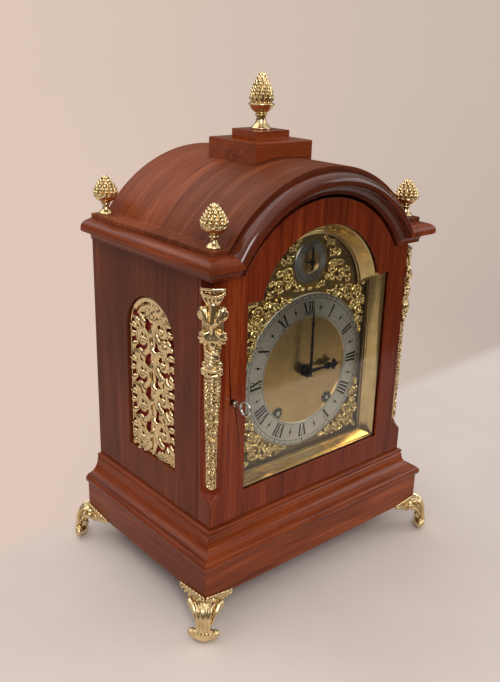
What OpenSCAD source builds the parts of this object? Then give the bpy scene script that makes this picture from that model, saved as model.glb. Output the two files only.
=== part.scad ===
// Chiming clock: a break-arch bracket clock on four scroll feet, with two trains and two coil gongs.
// Millimetres. X runs to the right along the front, Y to the back and Z up.
// The origin is on the floor, under the middle of the feet.

/* [Case] */
// Depth of the case body from the door's front to the back
body_d = 166; // [160:1:185]
// Thickness of the side panels
side_t = 12; // [9:0.5:14]
// Thickness of the boards of the roof
roof_t = 3.8; // [3:0.1:5]
// Width of the flat shoulders beside the barrel roof
roof_shoulder = 15.33; // [14.5:0.01:16.5]
// Height of the barrel's crown above the flat roof boards
roof_rise = 51.7; // [48:0.1:56]
// Thickness of the back frame and of the plinth's back rail
back_t = 12; // [10:0.5:14]

/* [Plinth and feet] */
// Height of the plinth
plinth_h = 53.3; // [50:0.1:60]
// How far the plinth's flat band stands out from the body
plinth_out = 14; // [12:0.5:18]
// Thickness of the plinth's rails at the flat band
plinth_t = 20; // [18:0.5:22]
// Thickness of the base board
base_t = 10; // [8:0.5:14]
// Height of the feet
foot_h = 30; // [27:0.5:34]
// How far a foot's scroll stands out past the plinth's corner, along X and along Y
foot_out = 5.5; // [4:0.5:8]
// Radius of a foot's scroll
foot_r = 6; // [5:0.25:7]
// Length of a foot's wings along the plinth
foot_wing = 32; // [26:1:38]

/* [Cornice] */
// Height of the cornice moulding
cornice_h = 18; // [16:0.5:20]
// How far the cornice's nose stands out from the body
cornice_out = 10.5; // [8:0.5:12]

/* [Front door] */
// Thickness of the front door
door_t = 16; // [15:0.5:18]
// Width of the door's stiles
stile_w = 34.6; // [33:0.1:37]
// Height of the door's bottom rail
rail_h = 23.2; // [21:0.1:26]
// Height of the door's head over the crown of the glass
head_h = 21.3; // [20:0.1:23]
// Width of the glass opening's shoulders beside its arch
light_shoulder = 11.2; // [10:0.1:12.5]
// Height of the door's shoulders over the glass opening's shoulders
shoulder_h = 21.6; // [20:0.1:24]
// Width of the canted corners, across the front and the side alike
cant = 12.5; // [11:0.25:13.5]
// Height of the canted corners' lower stop over the door's bottom edge
cant_up = 28.3; // [25:0.1:34]
// Gap between the door's arched head and the arch moulding
head_gap = 2.7; // [2.4:0.1:3.5]
// Gap between the door's back and the side panels
door_gap = 0.5; // [0.4:0.1:1]
// Width of the brass bezel at the sides and in the arch
bezel_w = 10; // [9:0.25:11]
// Height of the brass bezel along the bottom
bezel_low = 6; // [5:0.25:8]
// Thickness of the glass
glass_t = 2; // [1.5:0.1:3]
// How far the door opens, in degrees
door_open = 105; // [90:5:110]

/* [Dial and hands] */
// Outer radius of the chapter ring
ring_r = 67.8; // [66:0.1:68.4]
// Gap between the chapter ring and the bezel at the sides
ring_side = 1.6; // [0.6:0.1:3]
// Distance of the chapter ring's inner edge past the winding squares' centres
wind_rim = 3.7; // [3.2:0.1:5]
// Height of the chapter ring's lower edge over the bezel's bottom edge
ring_up = 5.7; // [4:0.1:7]
// Height of the chapter ring's upper edge over the bezel's shoulders
ring_over = 0.1; // [-1:0.1:0.4]
// Thickness of the chapter ring
ring_t = 1.5; // [1:0.1:1.5]
// Thickness of the dial plate
dial_t = 1.6; // [1.2:0.1:2]
// Outer radius of the strike and silent ring
small_ring_r = 17.7; // [16:0.1:18.5]
// Gap between the strike and silent ring and the crown of the bezel
small_gap = 5.2; // [4:0.1:6]
// Length of the minute hand from its centre
minute_len = 59; // [54:0.5:62]
// Length of the hour hand from its centre
hour_len = 41; // [36:0.5:44]
// Sideways distance of each winding square from the middle
wind_x = 29; // [28:0.25:30]
// Height of the winding squares below the hands' centre
wind_down = 32.4; // [31:0.1:33]

/* [Side openings] */
// Width of the side panels' openings
side_hole_w = 67; // [56:0.5:72]
// Height of the openings' bottom over the plinth
side_hole_up = 31.1; // [26:0.1:36]
// Height of the openings to the top of their round heads
side_hole_h = 141.1; // [130:0.1:150]
// Distance of the openings' middle behind the middle of the body
side_hole_y = -2.5; // [-8:0.5:4]
// Depth of the grilles behind the panels' outer faces
grille_deep = 4.5; // [2:0.5:5]
// Thickness of the grilles
grille_t = 1.6; // [1.2:0.1:2.5]

/* [Roof ornaments] */
// Width of the square pedestal block
block_w = 61; // [54:0.5:66]
// Height of the pedestal block's top over the crown of the roof
block_up = 12.4; // [9:0.1:18]
// Width of the pedestal's cap
cap_w = 34; // [30:0.5:40]
// Height of the pedestal's cap
cap_h = 7.3; // [5:0.1:10]
// Height of the top finial
top_finial_h = 45.9; // [40:0.1:52]
// Height of the corner finials
finial_h = 33; // [28:0.1:38]
// Distance of the corner finials from the body's sides
finial_in = 8.6; // [8:0.1:9]

/* [Movement] */
// Width of the movement's plates
plate_w = 142; // [140:0.5:150]
// Height of the movement's plates
plate_h = 140; // [138:0.5:146]
// Thickness of the movement's plates
plate_t = 3; // [2.5:0.1:3.5]
// Clear distance between the plates
plate_gap = 40; // [38:0.5:46]
// Distance of the front plate behind the dial plate
dial_foot_h = 11; // [10.5:0.1:14]
// Thickness of the seat board
seat_t = 9; // [8:0.5:12]
// Radius of the spring barrels
barrel_r = 17.5; // [15:0.25:17.75]
// Length of the pendulum from its pivot to the middle of its bob
pendulum_len = 120; // [104:1:124]
// Radius of the pendulum's bob
bob_r = 17; // [13:0.5:18]
// Swing of the pendulum to each side, in degrees
swing = 4; // [2:0.5:5]

/* [Gongs] */
// Turns of wire in the larger gong
gong_turns = 5; // [4:1:6]
// Radius of the gong wire
wire_r = 1.5; // [1:0.1:1.7]
// Distance from turn to turn in a gong
gong_pitch = 6.2; // [5:0.1:6.6]
// Distance of the first gong behind the back plate
gong_back = 34; // [30:0.5:40]
// Distance between the two gongs
gong_apart = 18; // [16:0.5:22]

/* [Back door] */
// Width of the back door's opening
back_hole_w = 168; // [156:1:174]
// Height of the back opening's bottom over the plinth
back_hole_up = 15; // [12:0.5:22]
// Width of the back door's stiles and rails
back_stile_w = 20; // [16:0.5:24]
// Gap around the back door
back_gap = 0.7; // [0.6:0.1:1.2]

/* [Hidden] */
$fn = 96;
eps = 0.01;
fit = 0.05;      // running clearance round a pin
clear = 0.3;     // clearance between bodies

// The case is built round its dial: widths, then heights
ring_in = norm([wind_x, wind_down]) + wind_rim;
sight_w = ring_r + ring_side;
light_w = sight_w + bezel_w;
light_r = light_w - light_shoulder;
half_w = light_w + stile_w;
body_w = 2 * half_w;
roof_half = half_w - roof_shoulder;
roof_r = (pow(roof_half, 2) + pow(roof_rise, 2)) / (2 * roof_rise);
door_under = 0.7;
door_over = 0.5;
sight_h = ring_up + 2 * ring_r - ring_over;
body_h = door_under + rail_h + bezel_low + sight_h + bezel_w + shoulder_h + door_over + cornice_h;

// Levels and planes of the case
plinth_top = foot_h + plinth_h;
body_top = plinth_top + body_h;
board_top = body_top + roof_t;
roof_cz = board_top + roof_rise - roof_r;
skin_r = roof_r - roof_t;
lip_r = skin_r - cornice_h;
cornice_z = body_top - cornice_h;
front_y = plinth_out / 2 - body_d / 2;
back_y = front_y + body_d;
plinth_y = front_y - plinth_out;
door_back = front_y + door_t;
case_y = door_back + door_gap;
inner_x = half_w - side_t;
plinth_x = half_w + plinth_out;
rail_in = plinth_out - plinth_t;

// The door and its glass opening
door_low = plinth_top + door_under;
door_high = cornice_z - door_over;
head_r = lip_r - head_gap;
head_bevel = 2;
light_low = door_low + rail_h;
light_high = door_high - shoulder_h;
light_cz = roof_cz + head_r - head_h - light_r;
glass_lip = 2;
glass_in = 3;
glass_y = front_y + glass_lip;
sight_low = light_low + bezel_low;
hinge_r = 1.5;
hinge_lift = 0.1;
hinge_x = half_w + hinge_r + hinge_lift;
hinge_y = door_back + door_gap / 2;
hinge_l = 30;
low_hinge_up = 26;
high_hinge_down = 10;
hinge_z = [door_low + low_hinge_up, door_high - high_hinge_down - hinge_l];
hinge_leaf = 0.8;
key_in = 12.9;
key_up = 80.8;
key_x = -light_w - key_in;
key_z = light_low + key_up;

// The dial
dial_z = sight_low + ring_up + ring_r;
dial_space = 1.8;
dial_y = door_back + dial_space;
dial_back = dial_y + dial_t;
ring_y = dial_y - ring_t;
small_z = light_cz + light_r - bezel_w - small_gap - small_ring_r;
dial_in = 3.4;
wind_z = dial_z - wind_down;
wind_hole = 3.9;

// The movement
front_plate_y = dial_back + dial_foot_h;
gap_y = front_plate_y + plate_t;
back_plate_y = gap_y + plate_gap;
rear_y = back_plate_y + plate_t;
seat_down = 42.5;
seat_z = wind_z - seat_down;
plate_top = seat_z + plate_h;
arbor_r = 1.5;

// Points of an arc, for outlines
function arc(c, rx, ry, a0, a1, n) =
    [for (i = [0:n]) let (a = a0 + (a1 - a0) * i / n) c + [rx * cos(a), ry * sin(a)]];

// Outlines of the mouldings: distance out from the body, height up from the moulding's bottom
cornice_nose = 2.6;
cornice_outline = concat(
    [[0, 0], [0.8, 0], [0.8, 1.6]],
    arc([cornice_out - 1.2, 1.6], cornice_out - 2, cornice_h / 2 - 3.2, 180, 90, 7),
    [[cornice_out - 1.2, cornice_h / 2 - 0.8], [cornice_out, cornice_h / 2 - 0.8]],
    arc([1.6, cornice_h / 2 + cornice_nose - 0.8], cornice_out - 1.6,
        cornice_h / 2 - cornice_nose, 0, 75, 8),
    [[0, cornice_h]]);
band_h = plinth_h * 0.51;
plinth_outline = concat(
    [[rail_in, 0], [plinth_out, 0], [plinth_out, band_h]],
    arc([plinth_out, band_h + 3.2], 2.5, 3, -80, 10, 4),
    arc([plinth_out - 1.5, band_h + 4], 4, 4, 10, 68, 4),
    arc([plinth_out, plinth_h - 4.6], plinth_out - 3.3, plinth_h - band_h - 12.8, 270, 180, 9),
    arc([1.5, plinth_h - 1.9], 1.8, 1.9, -60, 90, 8),
    [[rail_in, plinth_h]]);

// An outline in X and Z made solid between two planes of Y
module slab(y0, y1) {
    translate([0, y1, 0]) rotate([90, 0, 0]) linear_extrude(y1 - y0) children();
}

// An outline in Y and Z made solid between two planes of X
module side_slab(x0, x1) {
    translate([x0, 0, 0]) rotate([90, 0, 90]) linear_extrude(x1 - x0) children();
}

// A round bar along Y
module bar(r, y0, y1, x = 0, z = 0, r_back = -1) {
    translate([x, y1, z]) rotate([90, 0, 0])
        cylinder(h = y1 - y0, r1 = r_back < 0 ? r : r_back, r2 = r);
}

// A block from its lowest to its highest corner
module block(low, high) {
    translate(low) cube(high - low);
}

// A half-round or full disc in X and Z about the roof's centre
module roof_disc(r) {
    translate([0, roof_cz]) circle(r);
}

// The four feet
foot_pad = 0.4;
foot_leg_t = 11;
module foot_outline() {
    reach = norm([foot_out, foot_out]);
    difference() {
        union() {
            translate([reach, foot_r - foot_pad]) circle(foot_r);
            polygon(concat([[-19, foot_h], [-13, foot_h - 6]],
                arc([reach - 8 - foot_r, 11], 10, 10, 100, 0, 8),
                [[reach + 1, foot_r]],
                arc([reach - 4, 13], 11, 11, -10, 60, 6),
                [[2, foot_h], [-19, foot_h]]));
        }
        translate([-30, -10]) square([60, 10]);
    }
}
module foot_wing_outline() {
    lobe = foot_wing / 3;
    difference() {
        union() {
            translate([-foot_wing, -4]) square([foot_wing, 5]);
            for (i = [0:2])
                translate([-lobe * (i + 0.5), 0]) circle(lobe * (0.62 - 0.07 * i));
        }
        translate([-foot_wing - 1, -12]) square([foot_wing + 2, 8.5]);
    }
}
module foot() {
    plate = 3;
    wing_t = 1.6;
    rotate([0, 0, 45]) translate([0, foot_leg_t / 2, 0]) rotate([90, 0, 0])
        linear_extrude(foot_leg_t) foot_outline();
    rotate([0, 0, 45]) translate([norm([foot_out, foot_out]), 0, foot_r + 1]) rotate([90, 0, 0]) {
        cylinder(h = 18, r = foot_r - 2, center = true);
        cylinder(h = 24, r = foot_r - 3.4, center = true);
    }
    intersection() {
        block([-foot_wing, -foot_wing, foot_h - plate], [0, 0, foot_h]);
        translate([-foot_wing, -foot_wing, foot_h - plate]) rotate([0, 0, 45])
            translate([foot_wing * 0.72, -foot_wing, 0]) cube([foot_wing, 2 * foot_wing, plate]);
    }
    for (swapped = [0, 1]) mirror([swapped, -swapped, 0]) translate([0, wing_t, foot_h])
        rotate([90, 0, 0]) linear_extrude(wing_t) foot_wing_outline();
}
module feet() {
    color("gold") for (sx = [0, 1], sy = [0, 1])
        mirror([sx, 0, 0]) mirror([0, sy, 0])
            translate([plinth_x, -plinth_y, 0]) foot();
}

// The plinth's rails: the flat band, the cove and the bead, mitred at the two front corners
module plinth_side_plan() {
    far = plinth_out + 3;
    polygon([[half_w + rail_in, front_y - rail_in], [half_w + far, front_y - far],
             [half_w + far, back_y], [half_w + rail_in, back_y]]);
}
module plinth_side() {
    intersection() {
        translate([half_w, back_y, foot_h]) rotate([90, 0, 0]) linear_extrude(body_d + 20)
            polygon(plinth_outline);
        translate([0, 0, foot_h]) linear_extrude(plinth_h) plinth_side_plan();
    }
}
module plinth_left() {
    color("sienna") mirror([1, 0, 0]) plinth_side();
}
module plinth_right() {
    color("sienna") plinth_side();
}
module plinth_front() {
    far = plinth_out + 3;
    color("sienna") intersection() {
        translate([-half_w - 20, front_y, foot_h]) rotate([90, 0, 90])
            linear_extrude(body_w + 40) mirror([1, 0]) polygon(plinth_outline);
        translate([0, 0, foot_h]) linear_extrude(plinth_h)
            polygon([[-half_w - rail_in, front_y - rail_in], [-half_w - far, front_y - far],
                     [half_w + far, front_y - far], [half_w + rail_in, front_y - rail_in]]);
    }
}
module plinth_back() {
    color("saddlebrown") block([-half_w - rail_in, back_y - back_t, foot_h],
                               [half_w + rail_in, back_y, plinth_top]);
}
module base_board() {
    color("burlywood") block([-half_w - rail_in, front_y - rail_in, plinth_top - base_t],
                             [half_w + rail_in, back_y - back_t, plinth_top]);
}

// A round-headed opening in Y and Z
side_hole_cy = (front_y + back_y) / 2 + side_hole_y;
side_hole_z = plinth_top + side_hole_up;
side_head_z = side_hole_z + side_hole_h - side_hole_w / 2;
module side_arch(grow) {
    w = side_hole_w / 2 + grow;
    translate([side_hole_cy - w, side_hole_z - grow]) square([2 * w, side_head_z - side_hole_z + grow]);
    translate([side_hole_cy, side_head_z]) circle(w);
}

// The case's panels and frames
lock_w = 2 * (inner_x + key_x - 0.8);
lock_h = 28;
lock_d = 9;
bolt_h = 8;
bolt_d = 3;
bolt_y = door_back + lock_d / 2;
bolt_throw = 4;
module leaf_recess(x0, x1, y0, y1) {
    for (z = hinge_z) block([x0, y0, z], [x1, y1, z + hinge_l]);
}
leaf_w = 9;
module side_panel() {
    difference() {
        block([inner_x, case_y, plinth_top], [half_w, back_y, body_top]);
        side_slab(inner_x - 1, half_w + 1) side_arch(0);
        side_slab(inner_x - 1, half_w - grille_deep) side_arch(rebate);
    }
}
module side_panel_left() {
    color("sienna") difference() {
        mirror([1, 0, 0]) side_panel();
        block([-inner_x - bolt_throw - 1, bolt_y - bolt_d / 2 - clear, key_z - bolt_h / 2 - clear],
              [-inner_x + 1, bolt_y + bolt_d / 2 + clear, key_z + bolt_h / 2 + clear]);
    }
}
module side_panel_right() {
    color("sienna") difference() {
        side_panel();
        leaf_recess(half_w - leaf_w, half_w + 1, case_y - 1, case_y + hinge_leaf);
    }
}
module front_header() {
    color("sienna") slab(front_y, case_y) difference() {
        union() {
            translate([-half_w, cornice_z]) square([body_w, cornice_h]);
            intersection() {
                roof_disc(skin_r);
                translate([-half_w, cornice_z]) square([body_w, roof_r]);
            }
        }
        roof_disc(lip_r);
    }
}
back_low = plinth_top + back_hole_up;
back_head_r = back_hole_w / 2;
back_cz = roof_cz - 8;
module back_opening(grow) {
    w = back_head_r + grow;
    translate([-w, back_low - grow]) square([2 * w, back_cz - back_low + grow]);
    translate([0, back_cz]) circle(w);
}
module back_frame() {
    color("saddlebrown") slab(back_y - back_t, back_y) difference() {
        union() {
            translate([-inner_x, plinth_top]) square([2 * inner_x, body_h]);
            intersection() {
                roof_disc(skin_r);
                translate([-inner_x, plinth_top]) square([2 * inner_x, roof_cz + roof_r - plinth_top]);
            }
        }
        back_opening(0);
    }
}

// The mitre, in X and Z, on which the straight cornice meets the arch moulding
function meet_x(t) = sqrt(pow(lip_r + t, 2) - pow(cornice_z + t - roof_cz, 2));
meet_low = [meet_x(0), cornice_z];
meet_high = [meet_x(cornice_h), body_top];
function meet_point(t) = meet_low + t * (meet_high - meet_low);
module cornice_half() {
    far = cornice_out + 3;
    intersection() {
        translate([half_w, back_y, cornice_z]) rotate([90, 0, 0])
            linear_extrude(body_d + far) polygon(cornice_outline);
        translate([0, 0, cornice_z]) linear_extrude(cornice_h)
            polygon([[half_w, front_y], [half_w + far, front_y - far],
                     [half_w + far, back_y], [half_w, back_y]]);
    }
    intersection() {
        translate([0, front_y, cornice_z]) rotate([90, 0, 90])
            linear_extrude(half_w + far) mirror([1, 0]) polygon(cornice_outline);
        translate([0, 0, cornice_z]) linear_extrude(cornice_h)
            polygon([[0, front_y], [half_w, front_y], [half_w + far, front_y - far],
                     [0, front_y - far]]);
        slab(front_y - far, front_y)
            polygon([meet_point(-0.2), meet_point(1.2), [half_w + far, body_top + 4],
                     [half_w + far, cornice_z - 4]]);
    }
}
module cornice() {
    color("peru") for (s = [0, 1]) mirror([s, 0, 0]) cornice_half();
}
module arch_moulding() {
    far = cornice_out + 3;
    color("saddlebrown") intersection() {
        translate([0, front_y, roof_cz]) rotate([90, 0, 0])
            rotate_extrude($fn = 192) polygon([for (p = cornice_outline) [lip_r + p[1], p[0]]]);
        slab(front_y - far, front_y) {
            side = [meet_point(-0.2), meet_point(1.2), [meet_point(1.2)[0], roof_cz + roof_r]];
            polygon(concat(side, [for (i = [2:-1:0]) [-side[i][0], side[i][1]]]));
        }
    }
}
module roof() {
    color("chocolate") {
        slab(front_y, back_y) difference() {
            intersection() {
                roof_disc(roof_r);
                translate([-half_w, body_top]) square([body_w, roof_r]);
            }
            roof_disc(skin_r);
        }
        for (s = [0, 1]) mirror([s, 0, 0]) slab(front_y, back_y) difference() {
            translate([skin_r / 2, body_top]) square([half_w - skin_r / 2, roof_t]);
            roof_disc(roof_r);
        }
    }
}

// The pedestal and the finials
mid_y = (front_y + back_y) / 2;
block_top = roof_cz + roof_r + block_up;
module pedestal_block() {
    color("sienna") difference() {
        block([-block_w / 2, mid_y - block_w / 2, board_top],
              [block_w / 2, mid_y + block_w / 2, block_top]);
        bar(roof_r, mid_y - block_w, mid_y + block_w, 0, roof_cz);
    }
}
module pedestal_cap() {
    color("sienna") block([-cap_w / 2, mid_y - cap_w / 2, block_top],
                          [cap_w / 2, mid_y + cap_w / 2, block_top + cap_h]);
}
module top_finial() {
    h = top_finial_h;
    color("gold") translate([0, mid_y, block_top + cap_h]) rotate_extrude()
        polygon(concat([[0, 0], [0.2 * h, 0], [0.2 * h, 0.04 * h]],
            arc([0.2 * h, 0.17 * h], 0.1 * h, 0.12 * h, 260, 180, 6),
            [[0.1 * h, 0.25 * h]],
            arc([0.1 * h, 0.285 * h], 0.05 * h, 0.03 * h, -80, 80, 6),
            [[0.09 * h, 0.32 * h]],
            arc([0.09 * h, 0.48 * h], 0.18 * h, 0.16 * h, -80, 0, 6),
            arc([0.035 * h, 0.5 * h], 0.2 * h, 0.48 * h, 4, 72, 9),
            [[0.03 * h, 0.98 * h], [0, h]]));
}
finial_x = half_w - finial_in;
finial_ys = [front_y + finial_in + 0.8, back_y - finial_in - 1.4];
module corner_finial() {
    h = finial_h;
    rotate_extrude()
        polygon(concat([[0, 0], [0.175 * h, 0], [0.175 * h, 0.04 * h]],
            arc([0.18 * h, 0.17 * h], 0.08 * h, 0.12 * h, 260, 180, 5),
            [[0.1 * h, 0.25 * h]],
            arc([0.09 * h, 0.275 * h], 0.05 * h, 0.022 * h, -70, 70, 5),
            [[0.09 * h, 0.3 * h]],
            arc([0.075 * h, 0.53 * h], 0.245 * h, 0.23 * h, -80, 0, 7),
            arc([0.02 * h, 0.53 * h], 0.3 * h, 0.45 * h, 2, 76, 8),
            [[0, h]]));
}
module corner_finials() {
    color("gold") for (sx = [-1, 1], y = finial_ys)
        translate([sx * finial_x, y, board_top]) corner_finial();
}

// The pierced grilles: a border and a chain of linked scroll rings
grille_edge = 2.4;
grille_back = 1;
silk_t = 0.6;
rebate = 4;
module grille_outline() {
    columns = 3;
    rows = 6;
    cell = side_hole_w / columns;
    step = (side_head_z - side_hole_z + side_hole_w * 0.275) / rows;
    ring_r = step / 2 + 0.8;
    ring_w = 1.7;
    intersection() {
        side_arch(-clear);
        union() {
            difference() {
                side_arch(-0.1);
                side_arch(-grille_edge);
            }
            for (i = [0:columns - 1], j = [0:rows - 1])
                translate([side_hole_cy + (i - 1) * cell, side_hole_z + (j + 0.5) * step]) difference() {
                    circle(ring_r, $fn = 40);
                    circle(ring_r - ring_w, $fn = 40);
                }
            for (i = [0:columns - 1], j = [0:rows])
                translate([side_hole_cy + (i - 1) * cell, side_hole_z + j * step])
                    circle(2.2, $fn = 24);
            for (i = [0:columns - 2], j = [0:rows - 1])
                translate([side_hole_cy + (i - 0.5) * cell, side_hole_z + (j + 0.5) * step])
                    circle(2.4, $fn = 24);
        }
    }
}
module side_grille() {
    x1 = half_w - grille_deep;
    side_slab(x1 - eps, x1 + grille_t) grille_outline();
    side_slab(x1 - grille_back, x1) difference() {
        side_arch(rebate - clear);
        side_arch(-grille_edge);
    }
}
module side_grille_left() {
    color("goldenrod") mirror([1, 0, 0]) side_grille();
}
module side_grille_right() {
    color("goldenrod") side_grille();
}
module silk_panels() {
    x1 = half_w - grille_deep - grille_back;
    color("crimson") for (s = [0, 1]) mirror([s, 0, 0])
        side_slab(x1 - silk_t, x1) side_arch(rebate - clear);
}

// The outline of the door's glass opening, drawn in by an inset at the sides, the top and the bottom
module light(inset, low) {
    w = light_w - inset;
    translate([-w, light_low + low]) square([2 * w, light_high - light_low - low - inset]);
    translate([0, light_cz]) circle(light_r - inset);
}

// The dial and what it carries
mask_t = 8;
mask_gap = 0.7;
hands_hole = 5.2;
small_pin_r = 2.15;
dial_foot_r = 2;
dial_foot_in = 50;
numeral_cut = 0.12;
module dial_outline(grow) {
    light(dial_in - grow, dial_in - grow);
}
module dial_mask() {
    y0 = case_y + mask_gap;
    color("saddlebrown") slab(y0, y0 + mask_t) difference() {
        union() {
            translate([-inner_x, plinth_top]) square([2 * inner_x, body_h]);
            intersection() {
                roof_disc(skin_r);
                translate([-inner_x, plinth_top]) square([2 * inner_x, roof_cz + roof_r - plinth_top]);
            }
        }
        dial_outline(clear);
        translate([-inner_x - 1, key_z - lock_h / 2 - 1])
            square([inner_x + 1 + key_x + lock_w / 2 + 1, lock_h + 2]);
    }
}
module dial_plate() {
    color("darkgoldenrod") {
        difference() {
            slab(dial_y, dial_back) dial_outline(0);
            bar(hands_hole, dial_y - 1, dial_back + 1, 0, dial_z);
            bar(small_pin_r + fit, dial_y - 1, dial_back + 1, 0, small_z);
            for (s = [-1, 1]) bar(wind_hole, dial_y - 1, dial_back + 1, s * wind_x, wind_z);
        }
        for (sx = [-1, 1], sz = [-1, 1])
            bar(dial_foot_r, dial_back - eps, front_plate_y, sx * dial_foot_in, dial_z + sz * dial_foot_in);
    }
}
module chapter_ring() {
    numeral_r = (ring_r + ring_in) / 2 - 0.6;
    half_l = 5.5;
    half_t = 1.2;
    color("silver") difference() {
        bar(ring_r, ring_y, dial_y, 0, dial_z);
        bar(ring_in, ring_y - 1, dial_y + 1, 0, dial_z);
        for (i = [0:11]) translate([0, 0, dial_z]) rotate([0, i * 30, 0])
            block([-half_t, ring_y - 1, numeral_r - half_l],
                  [half_t, ring_y + numeral_cut, numeral_r + half_l]);
    }
}
spandrel_t = dial_space;
spandrel_x = sight_w - 12.5;
spandrel_z = sight_low + 13.5 - dial_z;
// A corner spandrel's rosette and scrolls, each a place from the rosette's middle and a radius
spandrel_scrolls = [[[0, 0], 9.5], [[3, 17], 5.6], [[6, 28], 3.8], [[-17, -3], 5.6], [[-28, -5], 3.8],
                    [[2, 8], 5], [[-8, -2], 5], [[5, 23], 3.6], [[-23, -4.5], 3.6]];
// The same for the scroll beside the strike and silent ring, from that ring's edge
small_scrolls = [[[9, -6], 8.2], [[18, -14], 6.6], [[27, -20], 4.6]];
module discs(list) {
    for (d = list) translate(d[0]) circle(d[1]);
}
module spandrels() {
    color("gold") slab(dial_y - spandrel_t, dial_y) difference() {
        union() {
            for (sx = [0, 1], sz = [0, 1])
                translate([0, dial_z]) mirror([sx, 0]) mirror([0, sz])
                    translate([spandrel_x, spandrel_z]) discs(spandrel_scrolls);
            for (s = [0, 1]) mirror([s, 0]) translate([small_ring_r, small_z]) discs(small_scrolls);
        }
        translate([0, dial_z]) circle(ring_r + clear);
        translate([0, small_z]) circle(small_ring_r + clear);
    }
}
module strike_silent_ring() {
    color("silver") difference() {
        bar(small_ring_r, ring_y, dial_y, 0, small_z);
        bar(small_ring_r * 0.55, ring_y - 1, dial_y + 1, 0, small_z);
    }
}
module hand_outline(length, w, boss) {
    circle(boss);
    polygon([[-w, 0], [-w * 0.7, length * 0.75], [0, length], [w * 0.7, length * 0.75], [w, 0]]);
}
module hand(y0, t) {
    translate([0, y0 + t, 0]) rotate([90, 0, 0]) linear_extrude(t) children();
}
module strike_silent_hand() {
    color("midnightblue") translate([0, 0, small_z]) {
        hand(ring_y - 2.2, 0.8) difference() {
            union() {
                hand_outline(small_ring_r * 0.8, 1.1, 2.6);
                translate([-0.6, -5]) square([1.2, 4]);
                translate([0, -5]) circle(1.6);
            }
            circle(0.6);
        }
        bar(small_pin_r, ring_y - 1.4 - eps, dial_back + 2);
    }
}

// The front door's wooden frame
cant_depth = cant / sqrt(2);
cant_stop_h = 7.5;
module cant_cut() {
    translate([half_w, front_y, door_low + cant_up]) rotate([90, 0, 135])
        linear_extrude(3 * cant, center = true)
            polygon([[-cant, -cant_stop_h], [0, -cant_stop_h], [0.62 * cant_depth, 0],
                     [0.82 * cant_depth, 0.8], [0.94 * cant_depth, 3], [cant_depth, 6],
                     [cant_depth, door_high], [-cant, door_high]]);
}
module door_frame() {
    color("chocolate") difference() {
        union() {
            slab(front_y, door_back) translate([-half_w, door_low])
                square([body_w, door_high - door_low]);
            intersection() {
                bar(head_r, front_y, door_back, 0, roof_cz, head_r - head_bevel);
                block([-half_w, front_y, light_cz], [half_w, door_back, roof_cz + roof_r]);
            }
        }
        slab(front_y - 1, door_back + 1) light(0, 0);
        slab(glass_y, door_back + 1) light(-glass_in, -glass_in);
        cant_cut();
        mirror([1, 0, 0]) cant_cut();
        leaf_recess(half_w - leaf_w, half_w + 1, door_back - hinge_leaf, door_back + 1);
        bar(2.6, front_y - 1, door_back + 1, key_x, key_z);
    }
}
module door_glass() {
    color("lightcyan", 0.35) slab(glass_y, glass_y + glass_t) light(clear - glass_in, clear - glass_in);
}
module door_bezel() {
    y0 = glass_y + glass_t;
    steps = 5;
    depth = door_back - 0.2 - y0;
    color("gold") {
        for (i = [0:steps - 1]) slab(y0 + depth * i / steps, y0 + depth * (i + 1) / steps) difference() {
            light(clear - glass_in, clear - glass_in);
            light(bezel_w * (i + 1) / steps, bezel_low * (i + 1) / steps);
        }
    }
}

// The corner mounts: capital, garland and drop, cast in one and pinned to the canted corners
mount_t = 2;
mount_over = 2.6;
mount_under = 4.6;
mount_h = door_high - door_low - cant_up - mount_over - mount_under;
// Half widths of the mount, each after its share of the mount's height
mount_widths = [[0, 0.8], [0.03, 2.4], [0.1, 3.6], [0.17, 3.4], [0.22, 3.4], [0.31, 5.2], [0.37, 5],
                [0.44, 4.4], [0.51, 6], [0.55, 5.2], [0.59, 7], [0.62, 7.6], [0.65, 5], [0.68, 6.4],
                [0.71, 5.2], [0.745, 8.6], [0.765, 8.8], [0.79, 7], [0.81, 6.6], [0.84, 9.6],
                [0.865, 7], [0.895, 5.2], [0.925, 5], [0.96, 7.4], [1, 8.8]];
// Raised work: share of the height, radius, and height out from the canted corner
mount_bosses = [[0.03, 1.8, 3], [0.1, 3, 3.6], [0.17, 3, 3.6], [0.24, 3.2, 4], [0.31, 4.2, 4.2],
                [0.38, 4.4, 4.4], [0.45, 4.2, 4.4], [0.51, 5, 5], [0.56, 4.6, 5], [0.61, 6.4, 5.4],
                [0.675, 5.6, 6.2], [0.75, 7.4, 5.4], [0.84, 8, 6.4], [0.91, 4.6, 4.8], [0.96, 6.2, 5.8]];
module mount_outline() {
    right = [for (p = mount_widths) [p[1], p[0] * mount_h]];
    last = len(right) - 1;
    polygon(concat(right, [for (i = [last:-1:0]) [-right[i][0], right[i][1]]]));
}
module corner_mount() {
    translate([half_w - cant / 2, front_y + cant / 2, door_low + cant_up + mount_over]) rotate([0, 0, 45]) {
        rotate([90, 0, 0]) linear_extrude(mount_t) mount_outline();
        for (b = mount_bosses) translate([0, eps - mount_t, b[0] * mount_h]) rotate([90, 0, 0])
            cylinder(h = b[2] - mount_t, r1 = b[1], r2 = b[1] * 0.55, $fn = 32);
    }
}
module corner_mounts() {
    color("gold") for (s = [0, 1]) mirror([s, 0, 0]) corner_mount();
}

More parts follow.
